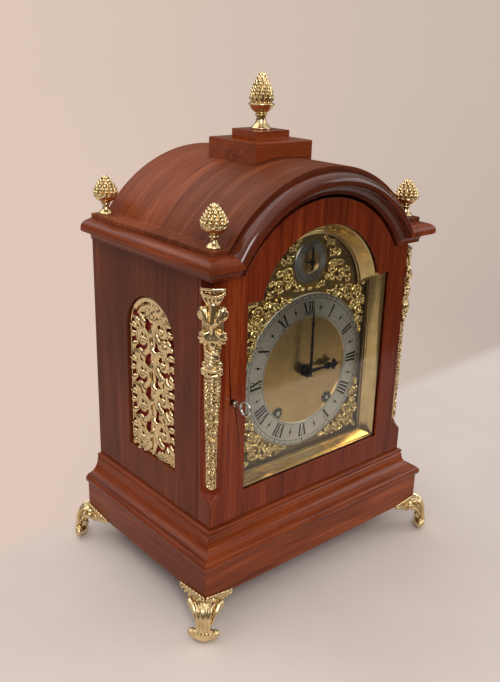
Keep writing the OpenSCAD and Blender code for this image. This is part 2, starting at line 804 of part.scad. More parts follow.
// The lock, its bolt and its key
key_r = 1.6;
key_front = front_y - 21;
module door_lock() {
    color("darkgoldenrod") difference() {
        block([key_x - lock_w / 2, door_back, key_z - lock_h / 2],
              [key_x + lock_w / 2, door_back + lock_d, key_z + lock_h / 2]);
        bar(key_r + fit, door_back - 1, door_back + lock_d - 2, key_x, key_z);
        bar(4.4, bolt_y - bolt_d / 2 - 1.2, bolt_y + bolt_d / 2 + 0.6, key_x, key_z);
        block([key_x - lock_w / 2 - 1, bolt_y - bolt_d / 2 - fit, key_z - bolt_h / 2 - fit],
              [key_x - 4, bolt_y + bolt_d / 2 + fit, key_z + bolt_h / 2 + fit]);
    }
}
module lock_bolt() {
    color("gray") block([key_x - lock_w / 2 + 0.2, bolt_y - bolt_d / 2, key_z - bolt_h / 2],
                        [key_x - 4 - bolt_throw / 4, bolt_y + bolt_d / 2, key_z + bolt_h / 2]);
}
module key() {
    bow = 6.5;
    color("silver") {
        bar(key_r, key_front + 2 * bow - 1, bolt_y + bolt_d / 2, key_x, key_z);
        bar(2.4, front_y - 3.4, front_y - 1.6, key_x, key_z);
        translate([key_x, key_front + bow, key_z]) rotate([0, 90, 0]) rotate_extrude()
            translate([bow - 1.1, 0]) circle(1.1, $fn = 24);
        block([key_x - 0.8, bolt_y - 1, key_z - 3.6], [key_x + 0.8, bolt_y + 1, key_z]);
    }
}

// The hinges: a fixed half with the pin and two knuckles, and a moving half with the knuckle between
pin_r = 0.75;
knuckle = hinge_l / 3;
knuckle_gap = 0.1;
module fixed_knuckles(x, y, z) {
    translate([x, y, z]) {
        cylinder(h = hinge_l, r = pin_r);
        for (k = [0, 2]) translate([0, 0, k * knuckle]) cylinder(h = knuckle, r = hinge_r);
    }
}
module moving_knuckle(x, y, z) {
    translate([x, y, z + knuckle + knuckle_gap]) cylinder(h = knuckle - 2 * knuckle_gap, r = hinge_r);
}
module pin_bore(x, y, z) {
    translate([x, y, z]) cylinder(h = hinge_l, r = pin_r + fit);
}
module case_hinge_leaves() {
    color("goldenrod") {
        for (z = hinge_z) {
            block([half_w - leaf_w, case_y, z], [half_w, case_y + hinge_leaf, z + hinge_l]);
            for (k = [0, 2])
                block([half_w - eps, case_y, z + k * knuckle],
                      [hinge_x, case_y + hinge_leaf, z + (k + 1) * knuckle]);
            fixed_knuckles(hinge_x, hinge_y, z);
        }
        for (z = back_hinge_z) {
            for (k = [0, 2])
                block([back_hinge_x, back_y, z + k * knuckle],
                      [back_hinge_x + leaf_w, back_y + hinge_leaf, z + (k + 1) * knuckle]);
            fixed_knuckles(back_hinge_x, back_hinge_y, z);
        }
    }
}
module door_hinge_leaves() {
    color("goldenrod") difference() {
        for (z = hinge_z) {
            block([half_w - leaf_w, door_back - hinge_leaf, z], [half_w, door_back, z + hinge_l]);
            block([half_w - eps, door_back - hinge_leaf, z + knuckle + knuckle_gap],
                  [hinge_x, door_back, z + 2 * knuckle - knuckle_gap]);
            moving_knuckle(hinge_x, hinge_y, z);
        }
        for (z = hinge_z) pin_bore(hinge_x, hinge_y, z);
    }
}

// The back door, its glass and its catch
back_door_t = back_t - 2;
back_hinge_x = back_head_r + back_gap / 2;
back_hinge_y = back_y + hinge_r + hinge_lift;
back_hinge_in = 20;
back_hinge_z = [back_low + back_hinge_in, back_cz - back_hinge_in - hinge_l];
button_x = -back_head_r - 8;
button_z = back_low + 70;
module back_door_frame() {
    y0 = back_y - back_door_t;
    color("saddlebrown") {
        slab(y0, back_y) difference() {
            back_opening(-back_gap);
            back_opening(-back_stile_w);
        }
        slab(y0, y0 + 3) difference() {
            back_opening(-back_stile_w);
            back_opening(-back_stile_w - 4);
        }
    }
    color("goldenrod") difference() {
        for (z = back_hinge_z) {
            block([back_hinge_x - leaf_w, back_y - eps, z + knuckle + knuckle_gap],
                  [back_head_r - back_gap, back_y + hinge_leaf, z + 2 * knuckle - knuckle_gap]);
            block([back_head_r - back_gap - eps, back_y + hinge_lift, z + knuckle + knuckle_gap],
                  [back_hinge_x, back_y + hinge_leaf, z + 2 * knuckle - knuckle_gap]);
            moving_knuckle(back_hinge_x, back_hinge_y, z);
        }
        for (z = back_hinge_z) pin_bore(back_hinge_x, back_hinge_y, z);
    }
    color("gold") {
        bar(2, back_y - eps, back_y + 4, -back_head_r + back_stile_w / 2, button_z);
        bar(4, back_y + 4 - eps, back_y + 8, -back_head_r + back_stile_w / 2, button_z, 3);
    }
}
module back_door_glass() {
    y0 = back_y - back_door_t + 3;
    color("lightcyan", 0.35) slab(y0, y0 + glass_t) back_opening(-back_stile_w);
}
module turn_button() {
    color("gold") difference() {
        union() {
            block([button_x - 3, back_y + 0.3, button_z - 3], [button_x + 3, back_y + 2.3, button_z + 14]);
            bar(4.5, back_y + 0.3, back_y + 2.3, button_x, button_z);
        }
        bar(1.2 + fit, back_y - 1, back_y + 3, button_x, button_z);
    }
}
module button_screw() {
    color("gold") {
        bar(1.2, back_y, back_y + 2.6 + eps, button_x, button_z);
        bar(2.6, back_y + 2.6, back_y + 3.6, button_x, button_z);
    }
}

// Toothed wheels: the teeth are narrow, so that each pair runs with backlash
function wheel_point(r, a) = [r * cos(a), r * sin(a)];
function wheel_outline(n, m, phase) = [for (i = [0:n - 1]) let (p = 360 / n, a = phase + i * p,
    r0 = m * (n / 2 - 1.1), r1 = m * (n / 2 + 0.8))
    each [wheel_point(r0, a - 0.2 * p), wheel_point(r1, a - 0.07 * p),
          wheel_point(r1, a + 0.07 * p), wheel_point(r0, a + 0.2 * p)]];
function mate(line, n) = line + 180 + 180 / n;
module toothed(n, m, phase, y0, t, x, z) {
    translate([x, y0 + t, z]) rotate([90, 0, 0]) linear_extrude(t) polygon(wheel_outline(n, m, phase));
}
module spoked(n, m, phase, y0, t, x, z) {
    rim = m * (n / 2 - 1.1) - 1.6;
    translate([x, y0 + t, z]) rotate([90, 0, 0]) linear_extrude(t) {
        difference() {
            polygon(wheel_outline(n, m, phase));
            circle(rim);
        }
        for (i = [0:1]) rotate(i * 90) square([2 * rim + 0.4, 2], center = true);
        circle(4);
    }
}
pivot_r = 1;
module arbor(x, z) {
    bar(arbor_r, gap_y + clear, back_plate_y - clear, x, z);
    bar(pivot_r, front_plate_y, rear_y, x, z);
}

// The trains' centres, numbers of teeth and modules
great_n = 96;
centre_n = 12;
wheel_n = 60;
pinion_n = 10;
great_d = norm([wind_x, wind_down]);
great_m = 2 * great_d / (great_n + centre_n);
centre_m = 0.69;
third_m = 0.57;
pin_m = 0.55;
half_sum = (wheel_n + pinion_n) / 2;
third_a = 60;
third_x = half_sum * centre_m * cos(third_a);
third_z = dial_z + half_sum * centre_m * sin(third_a);
escape_a = acos(-third_x / (half_sum * third_m));
escape_z = third_z + half_sum * third_m * sin(escape_a);
anchor_z = escape_z + 18;
pin_a = 110;
pin_x = -wind_x + great_d * cos(pin_a);
pin_z = wind_z + great_d * sin(pin_a);
fly_a = 75;
fly_x = pin_x + half_sum * pin_m * cos(fly_a);
fly_z = pin_z + half_sum * pin_m * sin(fly_a);
cannon_n = 36;
hour_n = 96;
minute_pinion_n = 8;
hour_m = 0.5;
motion_d = hour_m * (hour_n + minute_pinion_n) / 2;
cannon_m = motion_d / cannon_n;
minute_x = -motion_d;
centre_line = atan2(wind_down, -wind_x);
wind_r = 2.5;

// The planes that the wheels turn in, front faces, and their thicknesses
great_t = 2;
wheel_t = 1.6;
pinion_l = 4.5;
pinion_over = 1.5;
barrel_end = 1.5;
going_great_y = gap_y + 3;
strike_great_y = back_plate_y - 5;
centre_wheel_y = gap_y + 12;
third_wheel_y = gap_y + 22;
pin_wheel_y = gap_y + 20;
escape_y = gap_y + 30;
cannon_t = 1.4;
cannon_y = front_plate_y - 3;
hour_wheel_y = front_plate_y - 5.8;
minute_pinion_y = front_plate_y - 6.5;
ratchet_y = front_plate_y - 2.4;
ratchet_n = 24;
ratchet_m = 0.66;
wind_step = 4;

module great_wheel(x, line, y0, drum0, drum1) {
    difference() {
        union() {
            toothed(great_n, great_m, line, y0, great_t, x, wind_z);
            bar(barrel_r, drum0, drum1, x, wind_z);
        }
        bar(wind_r + fit, gap_y, back_plate_y, x, wind_z);
    }
}
module going_barrel() {
    color("darkgoldenrod") great_wheel(wind_x, centre_line, going_great_y,
                                       going_great_y + great_t - eps, back_plate_y - barrel_end);
}
module strike_barrel() {
    color("darkgoldenrod") great_wheel(-wind_x, pin_a, strike_great_y,
                                       gap_y + barrel_end, strike_great_y + eps);
}
module winding_arbor(x) {
    side = 3.6;
    step_y = front_plate_y - wind_step;
    bar(wind_r, step_y, rear_y, x, wind_z);
    bar(wind_r + 1, gap_y + clear, gap_y + 1.2, x, wind_z);
    block([x - side / 2, dial_y - 1, wind_z - side / 2], [x + side / 2, step_y + eps, wind_z + side / 2]);
    toothed(ratchet_n, ratchet_m, 0, ratchet_y, wheel_t, x, wind_z);
}
module going_winding_arbor() {
    color("gray") winding_arbor(wind_x);
}
module strike_winding_arbor() {
    color("gray") winding_arbor(-wind_x);
}
module centre_wheel() {
    color("goldenrod") {
        arbor(0, dial_z);
        bar(arbor_r, ring_y - 9.5, gap_y + 1, 0, dial_z);
        toothed(centre_n, great_m, mate(centre_line, centre_n), going_great_y - 1, pinion_l, 0, dial_z);
        spoked(wheel_n, centre_m, third_a, centre_wheel_y, wheel_t, 0, dial_z);
        toothed(cannon_n, cannon_m, 180, cannon_y, cannon_t, 0, dial_z);
    }
}
module third_wheel() {
    color("goldenrod") {
        arbor(third_x, third_z);
        toothed(pinion_n, centre_m, mate(third_a, pinion_n), centre_wheel_y - pinion_over, pinion_l,
                third_x, third_z);
        spoked(wheel_n, third_m, escape_a, third_wheel_y, wheel_t, third_x, third_z);
    }
}
module escape_wheel() {
    teeth = 30;
    tip = 11.4;
    color("gold") {
        arbor(0, escape_z);
        toothed(pinion_n, third_m, mate(escape_a, pinion_n), third_wheel_y - pinion_over, pinion_l,
                0, escape_z);
        translate([0, escape_y + wheel_t, escape_z]) rotate([90, 0, 0]) linear_extrude(wheel_t) {
            difference() {
                polygon([for (i = [0:teeth - 1]) let (a = i * 360 / teeth)
                    each [wheel_point(tip - 2.4, a), wheel_point(tip, a + 7), wheel_point(tip, a + 8.2)]]);
                circle(tip - 4);
            }
            for (i = [0:1]) rotate(i * 90) square([2 * tip - 7.6, 1.6], center = true);
            circle(3);
        }
    }
}
pins = 8;
pins_r = 14;
module pin_wheel() {
    color("goldenrod") {
        arbor(pin_x, pin_z);
        toothed(centre_n, great_m, mate(pin_a, centre_n), strike_great_y - 1, pinion_l - 0.5, pin_x, pin_z);
        spoked(wheel_n, pin_m, fly_a, pin_wheel_y, wheel_t, pin_x, pin_z);
        for (i = [0:pins - 1]) let (a = (i + 0.5) * 360 / pins)
            bar(0.7, pin_wheel_y + wheel_t - 0.1, pin_wheel_y + wheel_t + 3.4,
                pin_x + pins_r * cos(a), pin_z + pins_r * sin(a));
    }
}
vane_w = 9;
module fly() {
    color("goldenrod") {
        arbor(fly_x, fly_z);
        toothed(pinion_n, pin_m, mate(fly_a, pinion_n), pin_wheel_y - pinion_over, pinion_l, fly_x, fly_z);
        block([fly_x - vane_w, gap_y + 4, fly_z - 0.4], [fly_x + vane_w, gap_y + 15, fly_z + 0.4]);
    }
}
stud_r = 0.9;
module minute_wheel() {
    color("goldenrod") difference() {
        union() {
            toothed(cannon_n, cannon_m, 180 / cannon_n, cannon_y, cannon_t, minute_x, dial_z);
            toothed(minute_pinion_n, hour_m, 0, minute_pinion_y, cannon_y - minute_pinion_y + 0.1,
                    minute_x, dial_z);
        }
        bar(stud_r + fit, minute_pinion_y - 1, front_plate_y, minute_x, dial_z);
    }
}

// The hands
module hour_hand() {
    pipe = 2.7;
    color("midnightblue") difference() {
        union() {
            bar(pipe, ring_y - 5.4, hour_wheel_y + cannon_t, 0, dial_z);
            translate([0, ring_y - 3.2, dial_z]) rotate([90, 0, 0]) linear_extrude(1) rotate(-90) union() {
                hand_outline(hour_len, 1.5, 5);
                translate([0, hour_len * 0.58]) circle(3.4);
                for (s = [-1, 1]) translate([s * 3, hour_len * 0.74]) circle(2.2);
                translate([0, hour_len * 0.8]) circle(2);
            }
            spoked(hour_n, hour_m, mate(0, hour_n), hour_wheel_y, cannon_t, 0, dial_z);
        }
        bar(arbor_r + fit, ring_y - 6, front_plate_y, 0, dial_z);
    }
}
module minute_hand() {
    color("midnightblue") difference() {
        union() {
            translate([0, ring_y - 6, dial_z]) rotate([90, 0, 0]) linear_extrude(1) union() {
                hand_outline(minute_len, 1.2, 3.6);
                translate([0, minute_len * 0.42]) circle(2);
                translate([0, minute_len * 0.72]) circle(1.8);
            }
            bar(3, ring_y - 8.6, ring_y - 7 + eps, 0, dial_z, 3.4);
        }
        bar(arbor_r, ring_y - 10, front_plate_y, 0, dial_z);
    }
}

// The escapement's anchor with its crutch, and the pendulum
rod_y = rear_y + 10.2;
anchor_t = 3;
crutch_y = rear_y + 4;
crutch_t = 1.4;
fork_x = 2.2;
fork_h = 3;
fork_z = anchor_z - 35.5;
module anchor() {
    color("gray") {
        bar(arbor_r, gap_y + clear, back_plate_y - clear, 0, anchor_z);
        bar(pivot_r, front_plate_y, rear_y + 6, 0, anchor_z);
        translate([0, escape_y + 2.2, anchor_z]) rotate([90, 0, 0]) linear_extrude(anchor_t) {
            circle(3.4);
            for (s = [0, 1]) mirror([s, 0])
                polygon([[0, 3.4], [7, 1], [11.5, -4], [9.6, -8.6], [8.4, -3.6], [0, -2.4]]);
        }
        bar(3, crutch_y, rear_y + 6, 0, anchor_z);
        block([-1, crutch_y, fork_z], [1, crutch_y + crutch_t, anchor_z]);
        for (s = [-1, 1])
            block([s * fork_x - 0.7, crutch_y, fork_z - fork_h / 2],
                  [s * fork_x + 0.7, rod_y + 1.5, fork_z + fork_h / 2]);
        block([-fork_x - 0.7, crutch_y, fork_z - fork_h / 2],
              [fork_x + 0.7, crutch_y + crutch_t, fork_z + fork_h / 2]);
    }
}
module pendulum() {
    bob_z = anchor_z - pendulum_len;
    color("goldenrod") {
        difference() {
            union() {
                bar(3, rod_y - 1.2, rod_y + 1.2, 0, anchor_z);
                translate([0, rod_y, bob_z - bob_r - 9]) cylinder(h = anchor_z - bob_z + bob_r + 7, r = 1);
            }
            bar(pivot_r + fit, rod_y - 2, rod_y + 2, 0, anchor_z);
        }
        bar(bob_r, rod_y - 2.6, rod_y + 2.6, 0, bob_z);
        bar(bob_r * 0.72, rod_y + 2.6 - eps, rod_y + 4.2, 0, bob_z, bob_r * 0.5);
        bar(bob_r * 0.5, rod_y - 4.2, rod_y - 2.6 + eps, 0, bob_z, bob_r * 0.72);
        translate([0, rod_y, bob_z - bob_r - 6]) cylinder(h = 3, r = 3.4);
    }
}

// Plates, pillars, the pendulum's cock and the hammers' and motion work's bearings
pillar_r = 4;
pillar_in = 8;
pillar_x = plate_w / 2 - pillar_in;
hammer_x = plate_w / 2 - 3.6;
hammer_z = seat_z + 23;
module plate_holes() {
    for (p = [[third_x, third_z], [0, escape_z], [pin_x, pin_z], [fly_x, fly_z], [0, anchor_z]])
        bar(pivot_r + fit, front_plate_y - 1, rear_y + 1, p[0], p[1]);
    bar(arbor_r + fit, front_plate_y - 1, gap_y + 1, 0, dial_z);
    bar(pivot_r + fit, gap_y, rear_y + 1, 0, dial_z);
    for (s = [-1, 1]) {
        bar(wind_r + fit, front_plate_y - 1, rear_y + 1, s * wind_x, wind_z);
        bar(hammer_r + fit, front_plate_y - 1, rear_y + 1, s * hammer_x, hammer_z);
    }
}
module movement_plates() {
    color("goldenrod") difference() {
        for (y = [front_plate_y, back_plate_y])
            block([-plate_w / 2, y, seat_z], [plate_w / 2, y + plate_t, plate_top]);
        plate_holes();
    }
}
module plate_pillars() {
    color("goldenrod") {
        for (s = [-1, 1], z = [seat_z + pillar_in, plate_top - pillar_in])
            bar(pillar_r, gap_y, back_plate_y, s * pillar_x, z);
        bar(stud_r, minute_pinion_y - 0.5, front_plate_y, minute_x, dial_z);
        block([-9, rear_y, anchor_z + 4.5], [9, rod_y + 5, anchor_z + 8.5]);
        block([-4, rod_y + 2, anchor_z - 3], [4, rod_y + 5, anchor_z + 4.5 + eps]);
        bar(pivot_r, rod_y - 2, rod_y + 2 + eps, 0, anchor_z);
    }
}
module seat_board() {
    color("saddlebrown") block([-inner_x, front_plate_y - 2, seat_z - seat_t],
                               [inner_x, rear_y + 3, seat_z]);
}

// The gongs: steel wire wound in flat spirals, held in the ends of a cast stand
gong_z = seat_z + 48;
high_y = rear_y + gong_back;
low_y = high_y + gong_apart;
boss_r = 6;
boss_bend = 2 * wire_r;
start = [boss_r + 2 * boss_bend, boss_bend];
start_r = norm(start);
start_a = atan2(start[1], start[0]);
ring_sides = 6;
function gong_r(a) = start_r + gong_pitch * (a - start_a) / 360;
function gong_path(turns) = concat(
    [[boss_r, 0], [boss_r + boss_bend / 2, 0]],
    arc([boss_r + boss_bend, boss_bend], boss_bend, boss_bend, -90, -18, 4),
    [for (i = [0:24 * turns]) let (a = start_a + i * 15) gong_r(a) * [cos(a), sin(a)]]);
function heading(path, i) = let (a = path[max(i - 1, 0)], b = path[min(i + 1, len(path) - 1)])
    (b - a) / norm(b - a);
module gong_wire(path, y) {
    last = len(path) - 1;
    points = [for (i = [0:last]) let (h = heading(path, i), side = [-h[1], h[0]])
        for (k = [0:ring_sides - 1]) let (a = k * 360 / ring_sides, p = path[i] + wire_r * cos(a) * side)
            [p[0], y + wire_r * sin(a), p[1]]];
    sides = [for (i = [0:last - 1], k = [0:ring_sides - 1]) let (a = i * ring_sides + k,
        b = i * ring_sides + (k + 1) % ring_sides)
        each [[a, a + ring_sides, b], [b, a + ring_sides, b + ring_sides]]];
    ends = [for (k = [1:ring_sides - 2])
        each [[0, k, k + 1], [last * ring_sides, last * ring_sides + k + 1, last * ring_sides + k]]];
    translate([0, 0, gong_z]) polyhedron(points, concat(sides, ends));
}
function least_gap(path) = min([for (i = [0:len(path) - 1], j = [0:len(path) - 1]) if (j > i + 12)
    norm(path[i] - path[j])]) - 2 * wire_r;
module coil_gongs() {
    low = gong_path(gong_turns);
    high = gong_path(gong_turns - 1);
    echo("least gap of a gong to itself, mm", min(least_gap(low), least_gap(high)));
    color("steelblue") {
        gong_wire(high, high_y);
        gong_wire(low, low_y);
    }
}
module gong_stand() {
    mid = (high_y + low_y) / 2;
    foot_w = 24;
    foot_top = plinth_top + 10;
    color("dimgray") {
        block([-foot_w, high_y - 4, plinth_top], [foot_w, low_y + 4, foot_top]);
        block([-boss_r + 1, mid - 4, foot_top - eps], [boss_r - 1, mid + 4, gong_z - boss_r + eps]);
        block([-boss_r, high_y - 3, gong_z - boss_r], [boss_r, low_y + 3, gong_z + boss_r]);
    }
}

// The hammers
hammer_r = 1.2;
module hammer(side, y, turns) {
    edge = gong_r(side > 0 ? 360 * turns : 360 * turns - 180) + wire_r + 0.4;
    head = 14;
    rise = gong_z - hammer_z;
    reach = hammer_x - edge - head / 2;
    translate([side * hammer_x, 0, hammer_z]) mirror([side > 0 ? 0 : 1, 0, 0]) {
        bar(hammer_r, front_plate_y, y + 2);
        translate([0, y + 1, 0]) rotate([90, 0, 0]) linear_extrude(2) {
            circle(3);
            polygon([[-1.5, 0], [-reach - 1, rise], [-reach + 1, rise], [1.5, 0]]);
        }
        translate([edge - hammer_x, y, rise]) rotate([0, 90, 0]) cylinder(h = head, r = 4.5);
        bar(3, gap_y + 20, gap_y + 24);
        block([-9, gap_y + 21, -1], [0, gap_y + 23, 1]);
    }
}
module hammer_high() {
    color("gray") hammer(-1, high_y, gong_turns - 1);
}
module hammer_low() {
    color("gray") hammer(1, low_y, gong_turns);
}

feet();
plinth_front();
plinth_left();
plinth_right();
plinth_back();
base_board();
side_panel_left();
side_panel_right();
front_header();
back_frame();
cornice();
arch_moulding();
roof();
pedestal_block();
pedestal_cap();
top_finial();
corner_finials();
side_grille_left();
side_grille_right();
silk_panels();
dial_mask();
dial_plate();
chapter_ring();
spandrels();
strike_silent_ring();
strike_silent_hand();
door_frame();
door_bezel();
door_glass();
corner_mounts();
door_lock();
door_hinge_leaves();
case_hinge_leaves();
key();
lock_bolt();
back_door_frame();
back_door_glass();
turn_button();
button_screw();
movement_plates();
plate_pillars();
seat_board();
going_barrel();
strike_barrel();
going_winding_arbor();
strike_winding_arbor();
centre_wheel();
third_wheel();
escape_wheel();
anchor();
pin_wheel();
fly();
minute_wheel();
hour_hand();
minute_hand();
pendulum();
hammer_high();
hammer_low();
gong_stand();
coil_gongs();
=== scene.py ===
"""Looks of the chiming clock: woods, brass castings, dial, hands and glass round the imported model."""
import random
from math import asin, atan2, cos, degrees, exp, hypot, pi, radians, sin, sqrt

import bmesh
import bpy
from mathutils import Matrix, Vector


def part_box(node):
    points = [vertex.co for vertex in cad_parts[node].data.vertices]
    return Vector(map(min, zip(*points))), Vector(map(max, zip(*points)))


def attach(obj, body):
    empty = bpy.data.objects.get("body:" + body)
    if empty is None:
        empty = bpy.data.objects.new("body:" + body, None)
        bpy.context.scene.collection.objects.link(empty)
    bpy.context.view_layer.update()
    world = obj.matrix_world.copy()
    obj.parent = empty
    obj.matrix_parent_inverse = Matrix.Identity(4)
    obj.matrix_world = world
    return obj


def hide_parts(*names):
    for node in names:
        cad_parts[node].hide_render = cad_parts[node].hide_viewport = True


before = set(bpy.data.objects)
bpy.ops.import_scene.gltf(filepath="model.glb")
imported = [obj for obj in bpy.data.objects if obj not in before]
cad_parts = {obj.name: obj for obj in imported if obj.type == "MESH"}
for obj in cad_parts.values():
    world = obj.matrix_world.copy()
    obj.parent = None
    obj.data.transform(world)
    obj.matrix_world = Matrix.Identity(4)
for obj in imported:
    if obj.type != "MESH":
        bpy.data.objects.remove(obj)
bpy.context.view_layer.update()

MM = 0.001


def low(node):
    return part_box(node)[0]


def high(node):
    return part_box(node)[1]


def middle_and_radius(ring):
    ring_low, ring_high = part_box(ring)
    return (ring_low.z + ring_high.z) / 2, (ring_high.z - ring_low.z) / 2


# Places taken from the frame, in metres
front_y = low("door_frame").y
half_w = high("side_panel_right").x
ROOF_R = 120 * MM
roof_cz = high("roof").z - ROOF_R
ring_face, dial_y = low("chapter_ring").y, high("chapter_ring").y
dial_z, ring_r = middle_and_radius("chapter_ring")
small_z, small_r = middle_and_radius("strike_silent_ring")


class Graph:
    """A material's nodes, with short calls that add a node and join it up."""

    def __init__(self, name):
        self.material = bpy.data.materials.new(name)
        self.material.use_nodes = True
        self.tree = self.material.node_tree
        self.shader = self.tree.nodes["Principled BSDF"]
        self.output = self.tree.nodes["Material Output"]

    def put(self, socket, value):
        if isinstance(value, bpy.types.NodeSocket):
            self.tree.links.new(value, socket)
        else:
            socket.default_value = value

    def add(self, kind, inputs=(), **settings):
        node = self.tree.nodes.new("ShaderNode" + kind)
        for key, value in settings.items():
            setattr(node, key, value)
        for key, value in dict(inputs).items():
            self.put(node.inputs[key], value)
        return node

    def set(self, **values):
        for key, value in values.items():
            self.put(self.shader.inputs[key.replace("_", " ")], value)

    def noise(self, scale, detail, roughness, distortion=0.0, vector=None):
        values = {"Vector": self.place() if vector is None else vector, "Scale": scale, "Detail": detail,
                  "Roughness": roughness, "Distortion": distortion}
        return self.add("TexNoise", values).outputs["Fac"]

    def math(self, operation, first, second=0.0, third=0.0):
        node = self.add("Math", operation=operation)
        for socket, value in zip(node.inputs, (first, second, third)):
            self.put(socket, value)
        return node.outputs[0]

    def blend(self, first, share, second, other_share, way="ADD"):
        """The sum, or difference, of two values' shares."""
        return self.math(way, self.math("MULTIPLY", first, share), self.math("MULTIPLY", second, other_share))

    def reach(self, first, second):
        """The length of a vector of two parts."""
        return self.math("SQRT", self.blend(first, first, second, second))

    def ramp(self, factor, stops):
        node = self.add("ValToRGB", {"Fac": factor})
        points = node.color_ramp.elements
        while len(points) < len(stops):
            points.new(1.0)
        for point, (place, colour) in zip(points, stops):
            point.position = place
            point.color = (*colour, 1)
        return node.outputs["Color"]

    def level(self, factor, low_in, high_in, low_out=0.0, high_out=1.0):
        values = {"Value": factor, "From Min": low_in, "From Max": high_in, "To Min": low_out,
                  "To Max": high_out}
        return self.add("MapRange", values, clamp=True).outputs["Result"]

    def mix(self, factor, first, second, blend="MIX"):
        node = self.add("Mix", data_type="RGBA", blend_type=blend)
        sockets = (node.inputs[0], node.inputs[6], node.inputs[7])
        for socket, value in zip(sockets, (factor, first, second)):
            self.put(socket, value if isinstance(value, (float, bpy.types.NodeSocket)) else (*value[:3], 1))
        return node.outputs[2]

    def bump(self, height, strength, distance):
        node = self.add("Bump", {"Height": height, "Strength": strength, "Distance": distance})
        self.put(self.shader.inputs["Normal"], node.outputs["Normal"])

    def place(self):
        return self.add("TexCoord").outputs["Object"]

    def mix_shaders(self, factor, first, second):
        return self.add("MixShader", {0: factor, 1: first, 2: second}).outputs[0]

    def glow(self, colour):
        return self.add("Emission", {"Color": colour, "Strength": 1.0}).outputs[0]

    def split(self, vector):
        return self.add("SeparateXYZ", {"Vector": vector}).outputs

    def join(self, x, y, z):
        return self.add("CombineXYZ", {"X": x, "Y": y, "Z": z}).outputs[0]

    def stretched(self, vector, scale):
        return self.add("Mapping", {"Vector": vector, "Scale": scale}).outputs[0]


def along_grain(graph, grain, shift):
    """Coordinates whose third part runs along the grain: x, y or z, or round the roof's arch."""
    x, y, z = graph.split(graph.place())
    if grain == "arch":
        rise = graph.math("SUBTRACT", z, roof_cz)
        angle = graph.math("ARCTAN2", x, rise)
        order = (graph.reach(x, rise), y, graph.math("MULTIPLY", angle, ROOF_R))
    else:
        order = {"x": (y, z, x), "y": (z, x, y), "z": (x, y, z)}[grain]
    shifts = (shift, shift * 1.7, shift * 0.6)
    return graph.add("VectorMath", {0: graph.join(*order), 1: shifts}, operation="ADD").outputs[0]


JOINT_HALF = 0.6 * MM
JOINT_TINT = (0.42, 0.40, 0.44)


def wood(name, tones, grain, shift, gloss, coat, joint=None):
    """Varnished wood: broad figure, fibres, dark pores and a clear coat; darker in front of a joint."""
    dark, middle, light = tones
    graph = Graph(name)
    vector = along_grain(graph, grain, shift)

    def grown(along, *noise):
        return graph.noise(*noise, vector=graph.stretched(vector, (1, 1, along)))

    figure = grown(0.07, 75, 5, 0.55, 0.9)
    bands = grown(0.03, 260, 6, 0.6, 0.3)
    cloud = grown(0.35, 14, 3, 0.5)
    fibre = grown(0.015, 1500, 4, 0.6)
    pores = grown(0.035, 2300, 2, 0.5)
    tone = graph.blend(figure, 0.55, bands, 0.45)
    colour = graph.ramp(tone, [(0.36, dark), (0.47, middle), (0.54, middle), (0.64, light)])
    colour = graph.mix(graph.level(cloud, 0.35, 0.7, 0.0, 0.5), colour, dark, "MULTIPLY")
    colour = graph.mix(graph.level(fibre, 0.42, 0.66, 0.0, 0.4), colour, light)
    if joint is not None:
        depth = graph.split(graph.place())[1]
        front = graph.level(depth, joint + JOINT_HALF, joint - JOINT_HALF, 0.0, 0.62)
        colour = graph.mix(front, colour, JOINT_TINT, "MULTIPLY")
    pore = graph.level(pores, 0.6, 0.72, 0.0, 0.6)
    colour = graph.mix(pore, colour, tuple(0.25 * c for c in dark))
    rough = graph.level(cloud, 0.3, 0.7, gloss * 0.8, gloss * 1.35)
    graph.set(Base_Color=colour, Roughness=rough, Coat_Weight=coat, Coat_Roughness=gloss * 0.45,
              Coat_IOR=1.45, Specular_IOR_Level=0.06)
    graph.bump(graph.blend(fibre, 0.35, pore, 0.6, "SUBTRACT"), 0.22, 0.00015)
    return graph.material


def metal(name, colour, dark, roughness, hollow_tarnish_and_painted_shade, fine, scale=900, brushed=None, cavity=None):
    """Polished or brushed metal with faint scratches, and tarnish and painted shade darkening its hollows."""
    graph = Graph(name)
    worn = graph.noise(90, 4, 0.6)
    scratch = graph.noise(scale, 3, 0.6, vector=graph.stretched(graph.place(), brushed) if brushed else None)
    tone = graph.mix(graph.level(worn, 0.35, 0.75, 0.0, 0.35), colour, dark)
    # Pointiness darkens the hollows: partly tarnish, partly painted shade that deepens the relief.
    if cavity:
        point = graph.add("NewGeometry").outputs["Pointiness"]
        tone = graph.mix(graph.level(point, cavity[0], cavity[1], hollow_tarnish_and_painted_shade, 0.0), tone, dark)
    rough = graph.level(graph.blend(worn, 0.6, scratch, 0.4), 0.3, 0.7, roughness * 0.75, roughness * 1.4)
    graph.set(Base_Color=tone, Roughness=rough, Metallic=1.0)
    graph.bump(scratch, fine, 0.0001)
    return graph.material


def glass_material():
    """Clear sheet glass: see-through, with a faint tint and a mirror's gloss at a slant."""
    graph = Graph("clear_glass")
    see = graph.add("BsdfTransparent", {"Color": (0.95, 0.97, 0.95, 1)}).outputs[0]
    gloss = graph.add("BsdfGlossy", {"Color": (1, 1, 1, 1), "Roughness": 0.02}).outputs[0]
    smear = graph.noise(30, 3, 0.5)
    slant = graph.add("LayerWeight", {"Blend": 0.5}).outputs["Facing"]
    amount = graph.math("MULTIPLY_ADD", graph.math("POWER", slant, 5.0), 0.9, 0.035)
    amount = graph.math("ADD", amount, graph.level(smear, 0.4, 0.7, 0.0, 0.01))
    graph.put(graph.output.inputs["Surface"], graph.mix_shaders(amount, see, gloss))
    return graph.material


